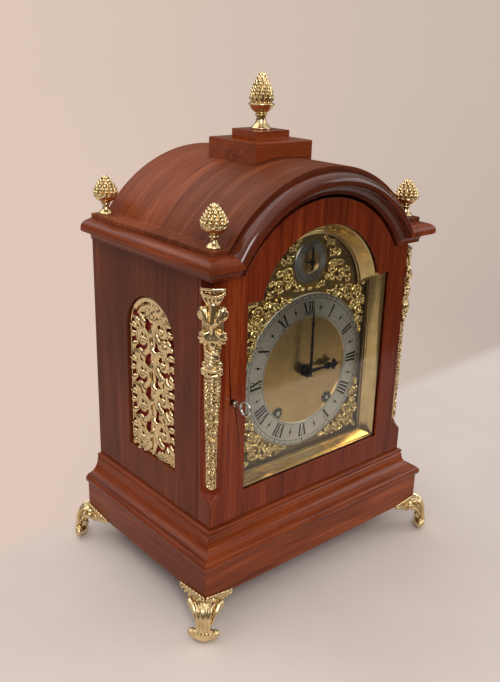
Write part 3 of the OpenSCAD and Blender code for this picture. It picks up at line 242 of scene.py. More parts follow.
def silvered(name, centre_z, light, dark):
    """Silvered brass, grained in circles round a centre, with a warm tarnish in places."""
    graph = Graph(name)
    x, _, z = graph.split(graph.place())
    rise = graph.math("SUBTRACT", z, centre_z)
    turn = graph.math("MULTIPLY", graph.math("ARCTAN2", x, rise), 0.003)
    lines = graph.noise(5000, 3, 0.6, vector=graph.join(graph.reach(x, rise), turn, 0.0))
    cloud = graph.noise(45, 4, 0.6)
    colour = graph.mix(graph.level(cloud, 0.4, 0.7, 0.0, 0.7), light, dark)
    round_way = graph.join(rise, 0.0, graph.math("MULTIPLY", x, -1.0))
    graph.set(Base_Color=colour, Roughness=graph.level(cloud, 0.3, 0.7, 0.26, 0.36), Metallic=0.95,
              Tangent=round_way, Anisotropic=0.85)
    graph.bump(lines, 0.12, 0.0001)
    return graph.material


def dial_plate_material():
    """Brass with a fine grain, lighter inside the chapter ring and inside the small ring."""
    graph = Graph("matted_dial_plate")
    x, _, z = graph.split(graph.place())
    inside = [graph.math("LESS_THAN", graph.reach(x, graph.math("SUBTRACT", z, centre_z)), radius)
              for centre_z, radius in ((dial_z, 47.6 * MM), (small_z, 10.2 * MM))]
    middle = graph.math("MAXIMUM", *inside)
    grain = graph.noise(3200, 3, 0.7)
    cloud = graph.level(graph.noise(30, 4, 0.6), 0.35, 0.7)
    gold = graph.mix(cloud, (0.62, 0.42, 0.18), (0.50, 0.32, 0.13))
    dark = graph.mix(cloud, (0.36, 0.25, 0.10), (0.24, 0.16, 0.06))
    rough = graph.level(middle, 0.0, 1.0, 0.3, 0.22)
    graph.set(Base_Color=graph.mix(middle, dark, gold), Roughness=rough, Metallic=0.95)
    graph.bump(grain, 0.35, 0.0001)
    return graph.material


def silk_material():
    """Crimson silk with a fine plain weave and a soft sheen."""
    graph = Graph("crimson_silk")
    vector = graph.place()
    threads = [graph.add("TexWave", {"Vector": vector, "Scale": scale, "Distortion": 0.4},
                         bands_direction=way).outputs["Fac"] for way, scale in (("Y", 700.0), ("Z", 620.0))]
    weave = graph.math("MULTIPLY", *threads)
    slub = graph.noise(240, 3, 0.6, vector=graph.stretched(vector, (1, 1, 0.1)))
    colour = graph.mix(graph.level(slub, 0.3, 0.75), (0.27, 0.008, 0.012), (0.42, 0.016, 0.022))
    colour = graph.mix(graph.level(weave, 0.0, 0.6, 0.35, 0.0), colour, (0.12, 0.004, 0.01))
    graph.set(Base_Color=colour, Roughness=graph.level(slub, 0.3, 0.7, 0.45, 0.65), Sheen_Weight=0.12,
              Sheen_Tint=(1.0, 0.5, 0.5, 1))
    graph.bump(weave, 0.4, 0.0001)
    return graph.material


# Each wood's dark, middle and light tone
RED = ((0.075, 0.008, 0.003), (0.18, 0.024, 0.006), (0.31, 0.056, 0.013))
RED_RAIL = (RED[0], (0.235, 0.042, 0.009), (0.40, 0.088, 0.02))
BROWN = ((0.075, 0.013, 0.005), (0.15, 0.03, 0.010), (0.235, 0.056, 0.019))
BROWN_RAIL = (BROWN[0], (0.20, 0.036, 0.011), (0.33, 0.075, 0.022))
BROWN_ROOF = (BROWN[0], (0.235, 0.05, 0.016), (0.42, 0.125, 0.042))
DEEP_RED = ((0.05, 0.008, 0.004), (0.115, 0.019, 0.007), (0.20, 0.04, 0.013))
PLAIN = ((0.07, 0.03, 0.015), (0.13, 0.06, 0.03), (0.20, 0.10, 0.05))
ROOF_JOINT_Y = 10 * MM

materials = {
    "panel": wood("walnut_panel", BROWN, "z", 0.11, 0.3, 0.2),
    "door": wood("walnut_door", RED, "z", 0.23, 0.2, 0.4),
    "rail_x": wood("walnut_rail_x", RED_RAIL, "x", 0.31, 0.22, 0.45),
    "rail_y": wood("walnut_rail_y", BROWN_RAIL, "y", 0.37, 0.26, 0.3),
    "roof": wood("walnut_roof", BROWN_ROOF, "arch", 0.43, 0.5, 0.14, ROOF_JOINT_Y),
    "arch": wood("walnut_arch", DEEP_RED, "arch", 0.47, 0.12, 0.9),
    "inner": wood("plain_wood", PLAIN, "z", 0.53, 0.5, 0.1),
    # The castings' hollows are darkened by tarnish and by painted shade.
    "cast": metal("cast_brass", (0.88, 0.68, 0.37), (0.20, 0.12, 0.045), 0.2, 0.85, 0.08, 1200,
                  cavity=(0.44, 0.51)),
    "bezel": metal("polished_brass", (0.74, 0.53, 0.25), (0.34, 0.21, 0.08), 0.15, 0.5, 0.03),
    "plate": metal("plate_brass", (0.80, 0.58, 0.26), (0.42, 0.27, 0.10), 0.28, 0.5, 0.1, 600, (1, 1, 30)),
    "gilt": metal("gilt_casting", (0.90, 0.66, 0.28), (0.16, 0.09, 0.025), 0.15, 0.95, 0.08, 1400,
                  cavity=(0.45, 0.53)),
    "ground": dial_plate_material(),
    "silver": silvered("silvered_brass", dial_z, (0.66, 0.63, 0.59), (0.50, 0.46, 0.41)),
    # A darker copy of the silvered brass for the strike ring: its dark tone is a painted reflection of the dim
    # room.
    "silver_painted_reflection": silvered("silvered_painted_reflection", small_z, (0.34, 0.33, 0.33), (0.22, 0.20, 0.19)),
    "wax": metal("black_wax", (0.012, 0.011, 0.011), (0.02, 0.018, 0.016), 0.4, 0.3, 0.1),
    "bronze": metal("dark_bush", (0.20, 0.17, 0.13), (0.07, 0.05, 0.03), 0.25, 0.5, 0.05),
    "blued": metal("blued_steel", (0.02, 0.022, 0.035), (0.01, 0.01, 0.012), 0.25, 0.5, 0.05),
    "steel": metal("bright_steel", (0.55, 0.54, 0.52), (0.25, 0.23, 0.21), 0.22, 0.5, 0.06),
    "gong": metal("gong_steel", (0.08, 0.10, 0.19), (0.03, 0.03, 0.05), 0.25, 0.5, 0.05),
    "iron": metal("black_iron", (0.03, 0.03, 0.032), (0.01, 0.01, 0.01), 0.5, 0.5, 0.4, 700),
    "glass": glass_material(),
    "silk": silk_material(),
}

WORN_BY = {
    "panel": "side_panel_left side_panel_right",
    "door": "door_frame front_header",
    "rail_x": "plinth_front pedestal_block pedestal_cap",
    "rail_y": "plinth_left plinth_right cornice",
    "roof": "roof",
    "arch": "arch_moulding",
    "inner": "plinth_back base_board back_frame dial_mask back_door_frame seat_board",
    "cast": "feet top_finial corner_finials side_grille_left side_grille_right spandrels corner_mounts "
            "turn_button button_screw door_hinge_leaves case_hinge_leaves door_lock",
    "bezel": "door_bezel",
    "plate": "movement_plates plate_pillars going_barrel strike_barrel centre_wheel third_wheel "
             "escape_wheel pin_wheel fly minute_wheel pendulum",
    "ground": "dial_plate",
    "silver": "chapter_ring strike_silent_ring",
    "blued": "hour_hand minute_hand strike_silent_hand",
    "steel": "key lock_bolt going_winding_arbor strike_winding_arbor anchor hammer_high hammer_low",
    "gong": "coil_gongs",
    "iron": "gong_stand",
    "glass": "door_glass back_door_glass",
    "silk": "silk_panels",
}
# Width of the worn edges, in millimetres
BEVELLED = {"panel": 0.6, "door": 0.5, "rail_x": 0.7, "inner": 0.5, "roof": 0.5, "plate": 0.15, "silver": 0.12}
SOFT_ANGLE, BEVEL_ANGLE = radians(28), radians(35)


def smooth_tree():
    """Joins the model's split corners and shades its shallow edges smooth."""
    tree = bpy.data.node_groups.new("soft_shading", "GeometryNodeTree")
    for way in ("INPUT", "OUTPUT"):
        tree.interface.new_socket("Geometry", in_out=way, socket_type="NodeSocketGeometry")
    start, plain, merge, faces, edges, end, angle, steep = map(tree.nodes.new, (
        "NodeGroupInput", "GeometryNodeRemoveAttribute", "GeometryNodeMergeByDistance",
        "GeometryNodeSetShadeSmooth", "GeometryNodeSetShadeSmooth", "NodeGroupOutput",
        "GeometryNodeInputMeshEdgeAngle", "FunctionNodeCompare"))
    plain.inputs["Name"].default_value = "custom_normal"
    merge.inputs["Distance"].default_value = 2e-6
    edges.domain = "EDGE"
    edges.inputs["Shade Smooth"].default_value = False
    steep.operation = "GREATER_THAN"
    steep.inputs[1].default_value = SOFT_ANGLE
    link = tree.links.new
    link(angle.outputs["Unsigned Angle"], steep.inputs[0])
    link(steep.outputs["Result"], edges.inputs["Selection"])
    chain = (start, plain, merge, faces, edges, end)
    for one, two in zip(chain, chain[1:]):
        link(one.outputs[0], two.inputs[0])
    return tree


def modify(item, name, kind, **settings):
    modifier = item.modifiers.new(name, kind)
    for key, value in settings.items():
        setattr(modifier, key, value)


soft_shading = smooth_tree()
for key, names in WORN_BY.items():
    for name in names.split():
        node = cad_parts[name]
        node.data.materials.clear()
        node.data.materials.append(materials[key])
        modify(node, "soft_shading", "NODES", node_group=soft_shading)
        if key in BEVELLED:
            modify(node, "worn_edges", "BEVEL", width=BEVELLED[key] * MM, segments=2, limit_method="ANGLE",
                   angle_limit=BEVEL_ANGLE, harden_normals=True, use_clamp_overlap=True)


def loops_of(shape, rows):
    return [[shape.verts.new(point) for point in row] for row in rows]


def bridge(shape, one, two):
    """Faces between two loops of as many vertices."""
    for k in range(len(one)):
        n = (k + 1) % len(one)
        shape.faces.new((one[k], one[n], two[n], two[k]))


def capped(shape, rows):
    """Adds a skin through rows of points and closes both its ends."""
    loops = loops_of(shape, rows)
    for one, two in zip(loops, loops[1:]):
        bridge(shape, one, two)
    shape.faces.new(loops[0][::-1])
    shape.faces.new(loops[-1])


def as_mesh(shape, name):
    """Turns a bmesh into a mesh."""
    mesh = bpy.data.meshes.new(name)
    shape.to_mesh(mesh)
    shape.free()
    return mesh


def closed_round(rows, name):
    """The mesh of a ring through rows of points, whose last row joins its first."""
    shape = bmesh.new()
    loops = loops_of(shape, rows)
    for one, two in zip(loops, [*loops[1:], loops[0]]):
        bridge(shape, two, one)
    bmesh.ops.recalc_face_normals(shape, faces=shape.faces)
    return as_mesh(shape, name)


def link_object(name, data):
    item = bpy.data.objects.new(name, data)
    bpy.context.scene.collection.objects.link(item)
    return item


def round_angles(count):
    """Equal steps once round."""
    return [2 * pi * k / count for k in range(count)]


def off(u, v, reach, turn, lift=0.0):
    """A point at a reach from (u, v), in the direction of a turn in degrees."""
    a = radians(turn)
    return u + reach * cos(a), v + reach * sin(a), lift


def bent(points, steps=6):
    """A smooth curve through points."""
    ends = [points[0], *points, points[-1]]
    path = []
    for a, b, c, d in zip(ends, ends[1:], ends[2:], ends[3:]):
        a, b, c, d = Vector(a), Vector(b), Vector(c), Vector(d)
        for i in range(steps):
            t = i / steps
            path.append(0.5 * (2 * b + (c - a) * t + (2 * a - 5 * b + 4 * c - d) * t * t
                               + (3 * b - a - 3 * c + d) * t ** 3))
    return path + [Vector(points[-1])]


LEAF_LOBES, LOBE_SPREAD = 3, 38
SCROLL_STEPS = 26


class Clay:
    """Lumps of wax in millimetres (u across, v up, w outwards) that are fused into one casting."""

    def __init__(self):
        self.lumps = bmesh.new()

    def egg(self, place, radii):
        matrix = place @ Matrix.Diagonal((*radii, 1))
        bmesh.ops.create_icosphere(self.lumps, subdivisions=2, radius=1, matrix=matrix)

    def ball(self, at, radii, turn=0.0, tip=None):
        """An egg: turn swings it in the face's plane, or tip is the direction of its long axis."""
        if tip is None:
            lean = Matrix.Rotation(radians(turn), 4, "Z")
        else:
            lean = Vector(tip).to_track_quat("Y", "Z").to_matrix().to_4x4()
        self.egg(Matrix.Translation(at) @ lean, radii)

    def stroke(self, points, start, end, axis=(0, 0, 1), flat=1.0, belly=0.0, sides=10):
        """A rounded rod along points, from one radius to another, swollen by belly and pressed along axis."""
        axis = Vector(axis)
        path = [Vector(p) for p in points]
        last = len(path) - 1
        radius = [start + (end - start) * i / last + belly * sin(pi * i / last) for i in range(last + 1)]
        first_way = (path[1] - path[0]).normalized()
        last_way = (path[-1] - path[-2]).normalized()
        path = [path[0] - first_way * start * 0.8, *path, path[-1] + last_way * end * 0.8]
        radius = [start * 0.55, *radius, end * 0.55]
        rings = []
        for i, (point, r) in enumerate(zip(path, radius)):
            way = (path[min(i + 1, len(path) - 1)] - path[max(i - 1, 0)]).normalized()
            across = way.cross(axis).normalized()
            rings.append([point + across * (r * cos(a)) + axis * (r * flat * sin(a))
                          for a in round_angles(sides)])
        capped(self.lumps, rings)

    def curve(self, points, start, end, steps=6, **more):
        """A rod along a smooth curve through points."""
        self.stroke(bent(points, steps), start, end, **more)

    def leaf(self, root, tip, width, height):
        """A lobed leaf: a rib with pairs of rounded lobes that shrink towards its tip."""
        root, tip = Vector(root), Vector(tip)
        way = tip - root
        size = way.length
        way.normalize()
        turn = degrees(atan2(way.y, way.x)) - 90
        across = Vector((-way.y, way.x, 0))
        for i in range(LEAF_LOBES):
            t = (i + 0.6) / (LEAF_LOBES + 0.6)
            reach = width * sin(pi * (0.25 + 0.6 * t)) * 0.5
            for side in (-1, 1):
                at = root + way * (size * t) + across * (side * reach * 0.6)
                radii = (reach * 0.42, size / LEAF_LOBES * 0.62, height * 0.8)
                self.ball(at, radii, turn + side * LOBE_SPREAD)
        self.ball(root + way * size * 0.84, (width * 0.2, size * 0.2, height * 0.8), turn)
        rib = [root, root + way * size * 0.5, root + way * size * 0.9]
        self.stroke(rib, width * 0.1, width * 0.05, flat=1.6)

    def scroll(self, centre, outer, inner, start, turns, thick, thin, lift, flat=0.8):
        """A spiral rod round centre, with a bead in its eye. Negative turns wind the other way."""
        points = []
        for t in (i / SCROLL_STEPS for i in range(SCROLL_STEPS + 1)):
            r = outer + (inner - outer) * t ** 0.8
            points.append(off(*centre, r, start + 360 * turns * t, lift))
        self.stroke(points, thick, thin, flat=flat)
        self.ball((*centre, lift), (inner * 0.95, inner * 0.95, thick * flat * 1.25))

    def slab(self, outline, back, front):
        """A flat plate with the given outline."""
        capped(self.lumps, [[(u, v, w) for u, v in outline] for w in (back, front)])

    def turned(self, profile, sides=48):
        """A turned core from (radius, height) points."""
        capped(self.lumps, [[(r * cos(a), r * sin(a), z) for a in round_angles(sides)] for r, z in profile])

    def add(self, other, place):
        """Presses in another clay's lumps, moved by a matrix, and uses them up."""
        bmesh.ops.transform(other.lumps, matrix=place, verts=other.lumps.verts)
        mesh = as_mesh(other.lumps, "lumps")
        self.lumps.from_mesh(mesh)
        bpy.data.meshes.remove(mesh)

    def fuse(self, name, voxel, keep, soften=2):
        """One closed skin round all the lumps, a little softened, with fewer faces."""
        bmesh.ops.recalc_face_normals(self.lumps, faces=self.lumps.faces)
        mesh = as_mesh(self.lumps, name + "_wax")
        wax = link_object(name + "_wax", mesh)
        modify(wax, "skin", "REMESH", mode="VOXEL", voxel_size=voxel)
        modify(wax, "soften", "SMOOTH", factor=0.5, iterations=soften)
        modify(wax, "fewer", "DECIMATE", ratio=keep)
        cast = bpy.data.meshes.new_from_object(wax.evaluated_get(bpy.context.evaluated_depsgraph_get()))
        cast.name = name
        bpy.data.objects.remove(wax)
        bpy.data.meshes.remove(mesh)
        return cast


def facing(right, up, out, at):
    """Where a casting goes: its u, v and w as directions of the clock, and its origin in metres."""
    columns = Matrix((Vector(right), Vector(up), Vector(out))).transposed().to_4x4()
    return Matrix.Translation(at) @ columns @ Matrix.Scale(MM, 4)


def on_dial(x, z, across=1, up=1):
    """Where a casting lies on the dial plate, turned over by -1."""
    return facing((across, 0, 0), (0, 0, up), (0, -1, 0), (x, dial_y, z))


MIRRORED = Matrix.Diagonal((-1, 1, 1, 1))


def dress(name, mesh, material, body, *replaced):
    """Makes a mesh one named piece, which rides a body and can stand for CAD nodes."""
    mesh.materials.clear()
    mesh.materials.append(materials[material])
    item = link_object(name, mesh)
    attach(item, body)
    if replaced:
        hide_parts(*replaced)


def piece(name, parts, *dressing, sharp=None):
    """One smooth piece from (mesh, place) pairs, with edges left sharp from an angle."""
    joined = bmesh.new()
    for mesh, place in parts:
        copy = mesh.copy()
        copy.transform(place)
        if place.determinant() < 0:
            copy.flip_normals()
        joined.from_mesh(copy)
        bpy.data.meshes.remove(copy)
    mesh = as_mesh(joined, name)
    mesh.shade_smooth()
    dress(name, mesh, *dressing)
    if sharp:
        mesh.set_sharp_from_angle(angle=sharp)


# The corner mount, in heights above the floor: its back plate's right edge, and its flower cluster
MOUNT_EDGE = [(4, 116.6), (5.4, 205), (6.2, 215), (6, 230), (8, 245), (8.2, 258), (5, 266), (8, 278.4)]
CLUSTER_TOP, CLUSTER_LOW, CLUSTER_WAIST, CLUSTER_STEP = 209, 119, 152, 3.1
FLOWER_SHARE = 0.34


def mount_half(side, clay):
    """One side of the mount: a ribbed leaf, the shell's rays and the knot's scroll."""
    leaf = [(0.6 * side, 252.5, 3), (4.4 * side, 257.5, 4), (7.4 * side, 264.5, 2.2)]
    clay.curve(leaf, 2.6, 3.2, flat=0.85)
    clay.ball((9 * side, 260, 1.6), (2.4, 4.6, 2.2), -14 * side)
    for lean in (0.2, 1.6, 3):
        clay.curve([(side, 253, 5), ((3.2 + lean * 0.6) * side, 258 - lean * 0.7, 6.2),
                    ((4.8 + lean * 1.3) * side, 265.5 - lean * 1.8, 3.6)], 0.7, 0.8)
    for spread, size in ((12, 10.5), (30, 11.6), (48, 12), (66, 11.4), (84, 10)):
        a = radians(-90 + side * spread)
        tip = (size * cos(a) * 0.92, 246.8 + size * sin(a) * 0.98, 1.6)
        clay.stroke([(0.6 * side, 248, 2.8), (tip[0] * 0.6, (tip[1] + 246) / 2, 4.6), tip], 1.3, 2)
    clay.scroll((6 * side, 215.6), 2.6, 1.1, 90, 0.9 * side, 1.5, 0.9, 2.2)
    clay.ball((5.6 * side, 221.4, 1.4), (2.2, 2.8, 1.6), -30 * side)


def flower_cluster(clay):
    """Rows of small flowers and leaves in a hanging, tapering bunch."""
    rng = random.Random(5)
    z, row = CLUSTER_TOP, 0
    while z > CLUSTER_LOW:
        half = 3.6 + 3.6 * min(1, (z - 115) / 95 * 1.15) - 1.1 * exp(-((z - CLUSTER_WAIST) / 5) ** 2)
        clay.ball((0, z, 0.4), (half * 0.98, 3.6, 2.4))
        count, spacing = (3, 0.56) if half > 5.4 else (2, 0.86)
        for k in range(count):
            u = (k - (count - 1) / 2) * half * spacing + (rng.random() - 0.5) * 0.8
            lean = (34 if (row + k) % 2 else -28) + 24 * (rng.random() - 0.5)
            height = 2.9 - 0.05 * u * u
            if rng.random() < FLOWER_SHARE:
                clay.ball((u, z, height - 0.6), (2, 2, 1.5))
                clay.ball((u, z, height + 0.7), (0.8, 0.8, 0.8))
            else:
                clay.ball((u, z + (rng.random() - 0.5), height - 0.2), (1.15, 2.5, 1.5), lean)
        z -= CLUSTER_STEP
        row += 1
    clay.ball((0, 117.9, 1.4), (3.3, 3, 2.4))


def corner_mount():
    """A cast mount: fluted cup, leaves, shell, ribbed fruit, knot and a tapering flower cluster."""
    clay = Clay()
    clay.stroke([(-8.4, 279.9, 2.6), (0, 279.9, 3.8), (8.4, 279.9, 2.6)], 1.4, 1.4)
    bow = [(-8.2, 276.9, 2), (-5.6, 275.3, 2.8), (0, 274.6, 3.4), (5.6, 275.3, 2.8), (8.2, 276.9, 2)]
    clay.curve(bow, 1.5, 1.5, flat=1.2)
    for u in (-6.6, -3.4, 0, 3.4, 6.6):
        clay.curve([(u, 275, 2.2), (u * 0.8, 271.6, 2.8), (u * 0.42, 268.2, 2.2)], 1.7, 1)
    for side in (-1, 1):
        mount_half(side, clay)
    clay.stroke([(0, 268, 1.8), (0, 262, 2.4), (0, 255, 3.4), (0, 247, 3), (0, 240, 3)], 3.4, 2.4, flat=0.8)
    clay.stroke([(0, 241, 3), (0, 237.5, 3.6), (0, 234, 2.6)], 2.4, 2.6)
    clay.ball((0, 227.4, 2.4), (6.4, 6.2, 4.4))
    for k in (-1.5, -0.5, 0.5, 1.5):
        clay.curve([(-5.2, 229.4 + 2.8 * k, 4.2), (0, 226.6 + 2.9 * k, 6.8 - 0.5 * k * k),
                    (5, 225.2 + 2.8 * k, 4)], 0.9, 0.9)
    clay.ball((0, 220.2, 2), (5.2, 2, 3))
    clay.stroke([(-7.6, 217.8, 2), (-3, 217, 4), (3, 217, 4), (7, 217.6, 2)], 1.5, 1.5)
    clay.stroke([(-5, 213, 2), (0, 212.4, 3.6), (5, 213, 2)], 1.4, 1.4)
    flower_cluster(clay)
    clay.slab([*MOUNT_EDGE, *((-u, v) for u, v in reversed(MOUNT_EDGE))], -0.2, 1.2)
    return clay.fuse("corner_mount", 0.36, 0.42)


def make_corner_mounts():
    cast = corner_mount()
    slant = sqrt(0.5)
    half_cant = 6.25 * MM
    middle = Vector((-half_w + half_cant, front_y + half_cant, 0))
    left = facing((slant, -slant, 0), (0, 0, 1), (-slant, -slant, 0), middle)
    parts = [(cast, left), (cast, MIRRORED @ left)]
    piece("corner_mount_castings", parts, "cast", "front_door", "corner_mounts")


# The frets: each scroll's middle and radius; each leaf's turn round its scroll, size and sweep
FRET_SCROLLS = [(-14.5, 12, 11.5), (15, 25, 12), (-14, 42, 12.5), (14.5, 56, 11.5), (-14.5, 72, 12),
                (14.5, 87, 12.5), (-13.5, 102, 12), (12.5, 115, 11)]
FRET_LEAVES = [(-66, 10, 0.5), (-34, 9, 0.5), (4, 5, 0.9), (38, 9, 0.9), (66, 11, 1), (98, 11, 1.1),
               (150, 9, 0.8)]
# How far the side panel is cut away for the fret's edge, and the edge's clearance there
REBATE, CLEAR = 4, 0.3


def fret_scroll(clay, u, v, r, hand):
    """A ridged scroll with leaves round it and buds in its hollow."""
    start = -90 + 10 * hand
    clay.scroll((u, v), r, 2.8, start, 1.25 * hand, 3.2, 1.7, 1.2, 0.85)
    clay.stroke([off(u, v, r - 3 * t, start + 290 * hand * t, 3.3 - t) for t in (k / 14 for k in range(15))],
                0.9, 0.6)
    for turn, size, sweep in FRET_LEAVES:
        around = turn if hand < 0 else 180 - turn
        out, swept = (Vector(off(0, 0, 1, a)) for a in (around, around + degrees(sweep * hand)))
        root = Vector((u, v, 1.6)) + out * (r - 0.5)
        clay.curve([root, root + out * size * 0.4 + Vector((0, 0, 1)),
                    root + out * size * 0.45 + swept * size * 0.5], 1.9, 1.7, flat=0.8, belly=1.2)
        clay.ball(root + out * size * 0.42 + swept * size * 0.55, (1.9, 1.9, 2.2))
    for turn in (-30, 75, 170):
        around = turn if hand > 0 else 180 - turn
        clay.stroke([off(u, v, 4, around, 1.4), off(u, v, 8.4, around + degrees(0.5 * hand), 1.6)], 1.2, 1.7,
                    flat=0.9)
    clay.ball((u - 4.4 * hand, v + r * 0.96, 2.2), (1.7, 1.7, 1.8))


def fret(half, rise):
    """Linked leafy scrolls up an opening, closing under its round head."""
    spring = rise - half
    clay = Clay()
    for u, v, r in FRET_SCROLLS:
        fret_scroll(clay, u, v, r, 1 if u < 0 else -1)
    clay.curve([(-2, 0, 1.2), *((-u * 0.12, v, 1.2) for u, v, r in FRET_SCROLLS)], 2.6, 1.6, flat=0.7)
    for side in (-1, 1):
        clay.leaf((side * 5, 2, 1.2), (side * 19, 4.5, 1), 9, 2.2)
        clay.leaf((side * 25, 1, 1.2), (side * 29, 12, 1), 11, 2.2)
        clay.leaf((side * 3, rise - 19, 1.4), (side * 17, rise - 12, 1.2), 7, 1.8)
        rim = [(side * (half - 0.7), v, 0.9) for v in range(0, int(spring) + 1, 6)]
        rim += [off(0, spring, half - 0.7, 90 - side * (90 - a), 0.9) for a in range(4, 91, 8)]
        clay.stroke(rim, 1.1, 1.1, flat=0.9)
    for reach, size in ((half - 2.8, 2.9), (half - 8.6, 2)):
        clay.stroke([off(0, spring, reach, a, 1.5) for a in range(34, 147, 6)], size, size, flat=0.75)
    clay.leaf((0, rise - 22, 1.6), (0, rise - 3, 1.6), 11, 2)
    clay.stroke([(-half + 1, 0.7, 0.8), (0, 0.7, 0.8), (half - 1, 0.7, 0.8)], 0.9, 0.9)
    cast = clay.fuse("fret", 0.42, 0.3)
    for vert in cast.vertices:
        u, v, w = vert.co
        over = max(v - spring, 0)
        reach = hypot(u, over)
        if reach > half:
            u, v = u * half / reach, v - over + over * half / reach
        vert.co = (u, max(v, 0.1), max(w, 0))
    return cast


def make_grilles():
    node_low, node_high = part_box("side_grille_left")
    half = (node_high.y - node_low.y) / 2 / MM - REBATE + CLEAR
    rise = (node_high.z - node_low.z) / MM - 2 * REBATE + 2 * CLEAR
    cast = fret(half, rise)
    at = (node_low.x + 2 * MM, (node_high.y + node_low.y) / 2, node_low.z + REBATE * MM)
    left = facing((0, -1, 0), (0, 0, 1), (-1, 0, 0), at)
    piece("side_fret_left", [(cast, left)], "cast", "case", "side_grille_left")
    piece("side_fret_right", [(cast, MIRRORED @ left)], "cast", "case", "side_grille_right")


# The finials' turned cores, as (radius, height) from the foot up
SMALL_CORE = [(0.5, 0), (6, 0), (6, 1.2), (5.2, 2.2), (3.2, 4.2), (2.5, 6.4), (2.6, 7.4), (3.9, 8.1),
              (3.9, 9.1), (3, 9.8), (5.4, 10.8), (8.2, 12.8), (9.9, 15.4), (9.7, 16.2), (8.4, 16.4), (7.6, 19),
              (6, 23), (4, 27), (1.5, 30.8)]
TALL_CORE = [(0.5, 0), (8.4, 0), (8.4, 1.2), (7.2, 2.2), (5, 4.6), (3.9, 7.4), (3.7, 9.8), (5, 10.6),
             (5, 11.8), (3.9, 12.6), (6.2, 13.8), (9, 16.4), (10.9, 19.6), (10.6, 20.4), (8.6, 20.6), (8, 25),
             (6.8, 31), (4.6, 37), (2.2, 42), (1, 44.6)]
SMALL_FINIAL_R = 10.6


def finial(name, core, low_z, high_z, cone, rows, size, long):
    """A turned cup under a cone of overlapping scales; cone says how it narrows from its widest radius."""
    clay = Clay()
    clay.turned(core)
    wide, start, length, power, tip = cone
    for row in range(rows):
        t = (row + 0.4) / rows
        z = low_z + (high_z - low_z) * t
        r = wide * (1 - min(1, max(0, z - start) / length) ** power) + tip
        count = max(5, round(2 * pi * r / (size * 1.75)))
        for k in range(count):
            a = 2 * pi * (k + 0.5 * (row % 2)) / count
            out = Vector((cos(a), sin(a), 0))
            lean = (out * (0.52 - 0.62 * t) + Vector((0, 0, 1))).normalized()
            swell = size * (1 - 0.3 * t)
            side = lean.cross(out).normalized()
            thick = side.cross(lean).normalized()
            turn = Matrix((side, lean, thick)).transposed().to_4x4()
            clay.egg(Matrix.Translation(out * (r - 0.1 * size) + Vector((0, 0, z))) @ turn,
                     (swell * 0.8, swell * long, swell * 0.6))
    clay.ball((0, 0, high_z - 0.3), (size * 0.9, size * 0.9, size * 0.9))
    return clay.fuse(name, 0.3, 0.5, 1)


def make_finials():
    """Artichoke finials on the four corners and a larger pineapple on the block."""
    small = finial("corner_finial", SMALL_CORE, 16.2, 30.6, (8.8, 15, 17.4, 1.7, 0.3), 6, 2.5, 1.4)
    node_low, node_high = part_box("corner_finials")
    r = SMALL_FINIAL_R * MM
    turn = Matrix.Rotation(radians(20), 4, "Z") @ Matrix.Scale(MM, 4)
    parts = [(small, Matrix.Translation((x, y, node_low.z)) @ turn)
             for x in (node_low.x + r, node_high.x - r) for y in (node_low.y + r, node_high.y - r)]
    piece("corner_finial_castings", parts, "cast", "case", "corner_finials")
    tall = finial("pineapple", TALL_CORE, 21.5, 43.4, (8.4, 22, 24, 1.75, 0.2), 8, 2.3, 1.8)
    node_low, node_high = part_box("top_finial")
    middle = (node_low + node_high) / 2
    place = Matrix.Translation((middle.x, middle.y, node_low.z)) @ Matrix.Scale(MM, 4)
    piece("top_finial_casting", [(tall, place)], "cast", "case", "top_finial")


# The feet, below the plinth's edge: the floor, the roll's eye and the leg's line as (outwards, height)
FOOT_LOW = -30
ROLL = Vector((8.4, FOOT_LOW + 5.6))
LEG = [(-5, -1.6), (1.5, -0.2), (6.6, -2.8), (9.4, -8), (9.8, -13.5), (10.6, -19)]
RIB_LIFT = (1.2, 1.2, 1.2, 0.3, 0.3, 0.3)
RIB_SPREAD = (1.55, 1.55, 1.2, 1, 1, 1)
WING_LEAVES = [(0.04, -8.2, 4.2), (0.2, -8.4, 4), (0.36, -6.6, 3.4), (0.52, -4.8, 2.8), (0.68, -3.4, 2.3),
               (0.84, -2.6, 1.8)]
SIDE_WING, FRONT_WING = 33, 27
ALONG_SIDE = Matrix(((0, 0, 1, 0), (1, 0, 0, 0), (0, 1, 0, 0), (0, 0, 0, 1)))
ALONG_FRONT = Matrix(((-1, 0, 0, 0), (0, 0, -1, 0), (0, 1, 0, 0), (0, 0, 0, 1)))


def foot_wing(length):
    """A leafy wing along the plinth's lower edge: u away from the corner, v up from the edge."""
    wing = Clay()
    wing.curve([(-3, -1.2, 0.8), (length * 0.3, 0.9, 1.2), (length * 0.7, 0.2, 1), (length - 2.5, -0.6, 0.7)],
               3, 1.5, flat=0.6)
    for t, drop, size in WING_LEAVES:
        u = length * t
        line = [(u - 1, 0, 1.6), (u + 1.4, drop * 0.55, 2.2), (u + 2.8, drop, 0.9)]
        wing.stroke(line, size * 0.42, size * 0.72, flat=0.7, belly=size * 0.16)
    for t in ((k + 0.5) / 8 for k in range(8)):
        wing.ball((length * t, 3.6 - 2.6 * t, 1), (1.9 - 0.5 * t, 1.7 - 0.4 * t, 1.3))
    wing.scroll((length * 0.16, -1.6), 3.4, 1, 60, 1.1, 1, 0.7, 2.2, 0.9)
    wing.ball((length - 1.6, -0.6, 0.8), (1.9, 1.7, 1.3))
    return wing


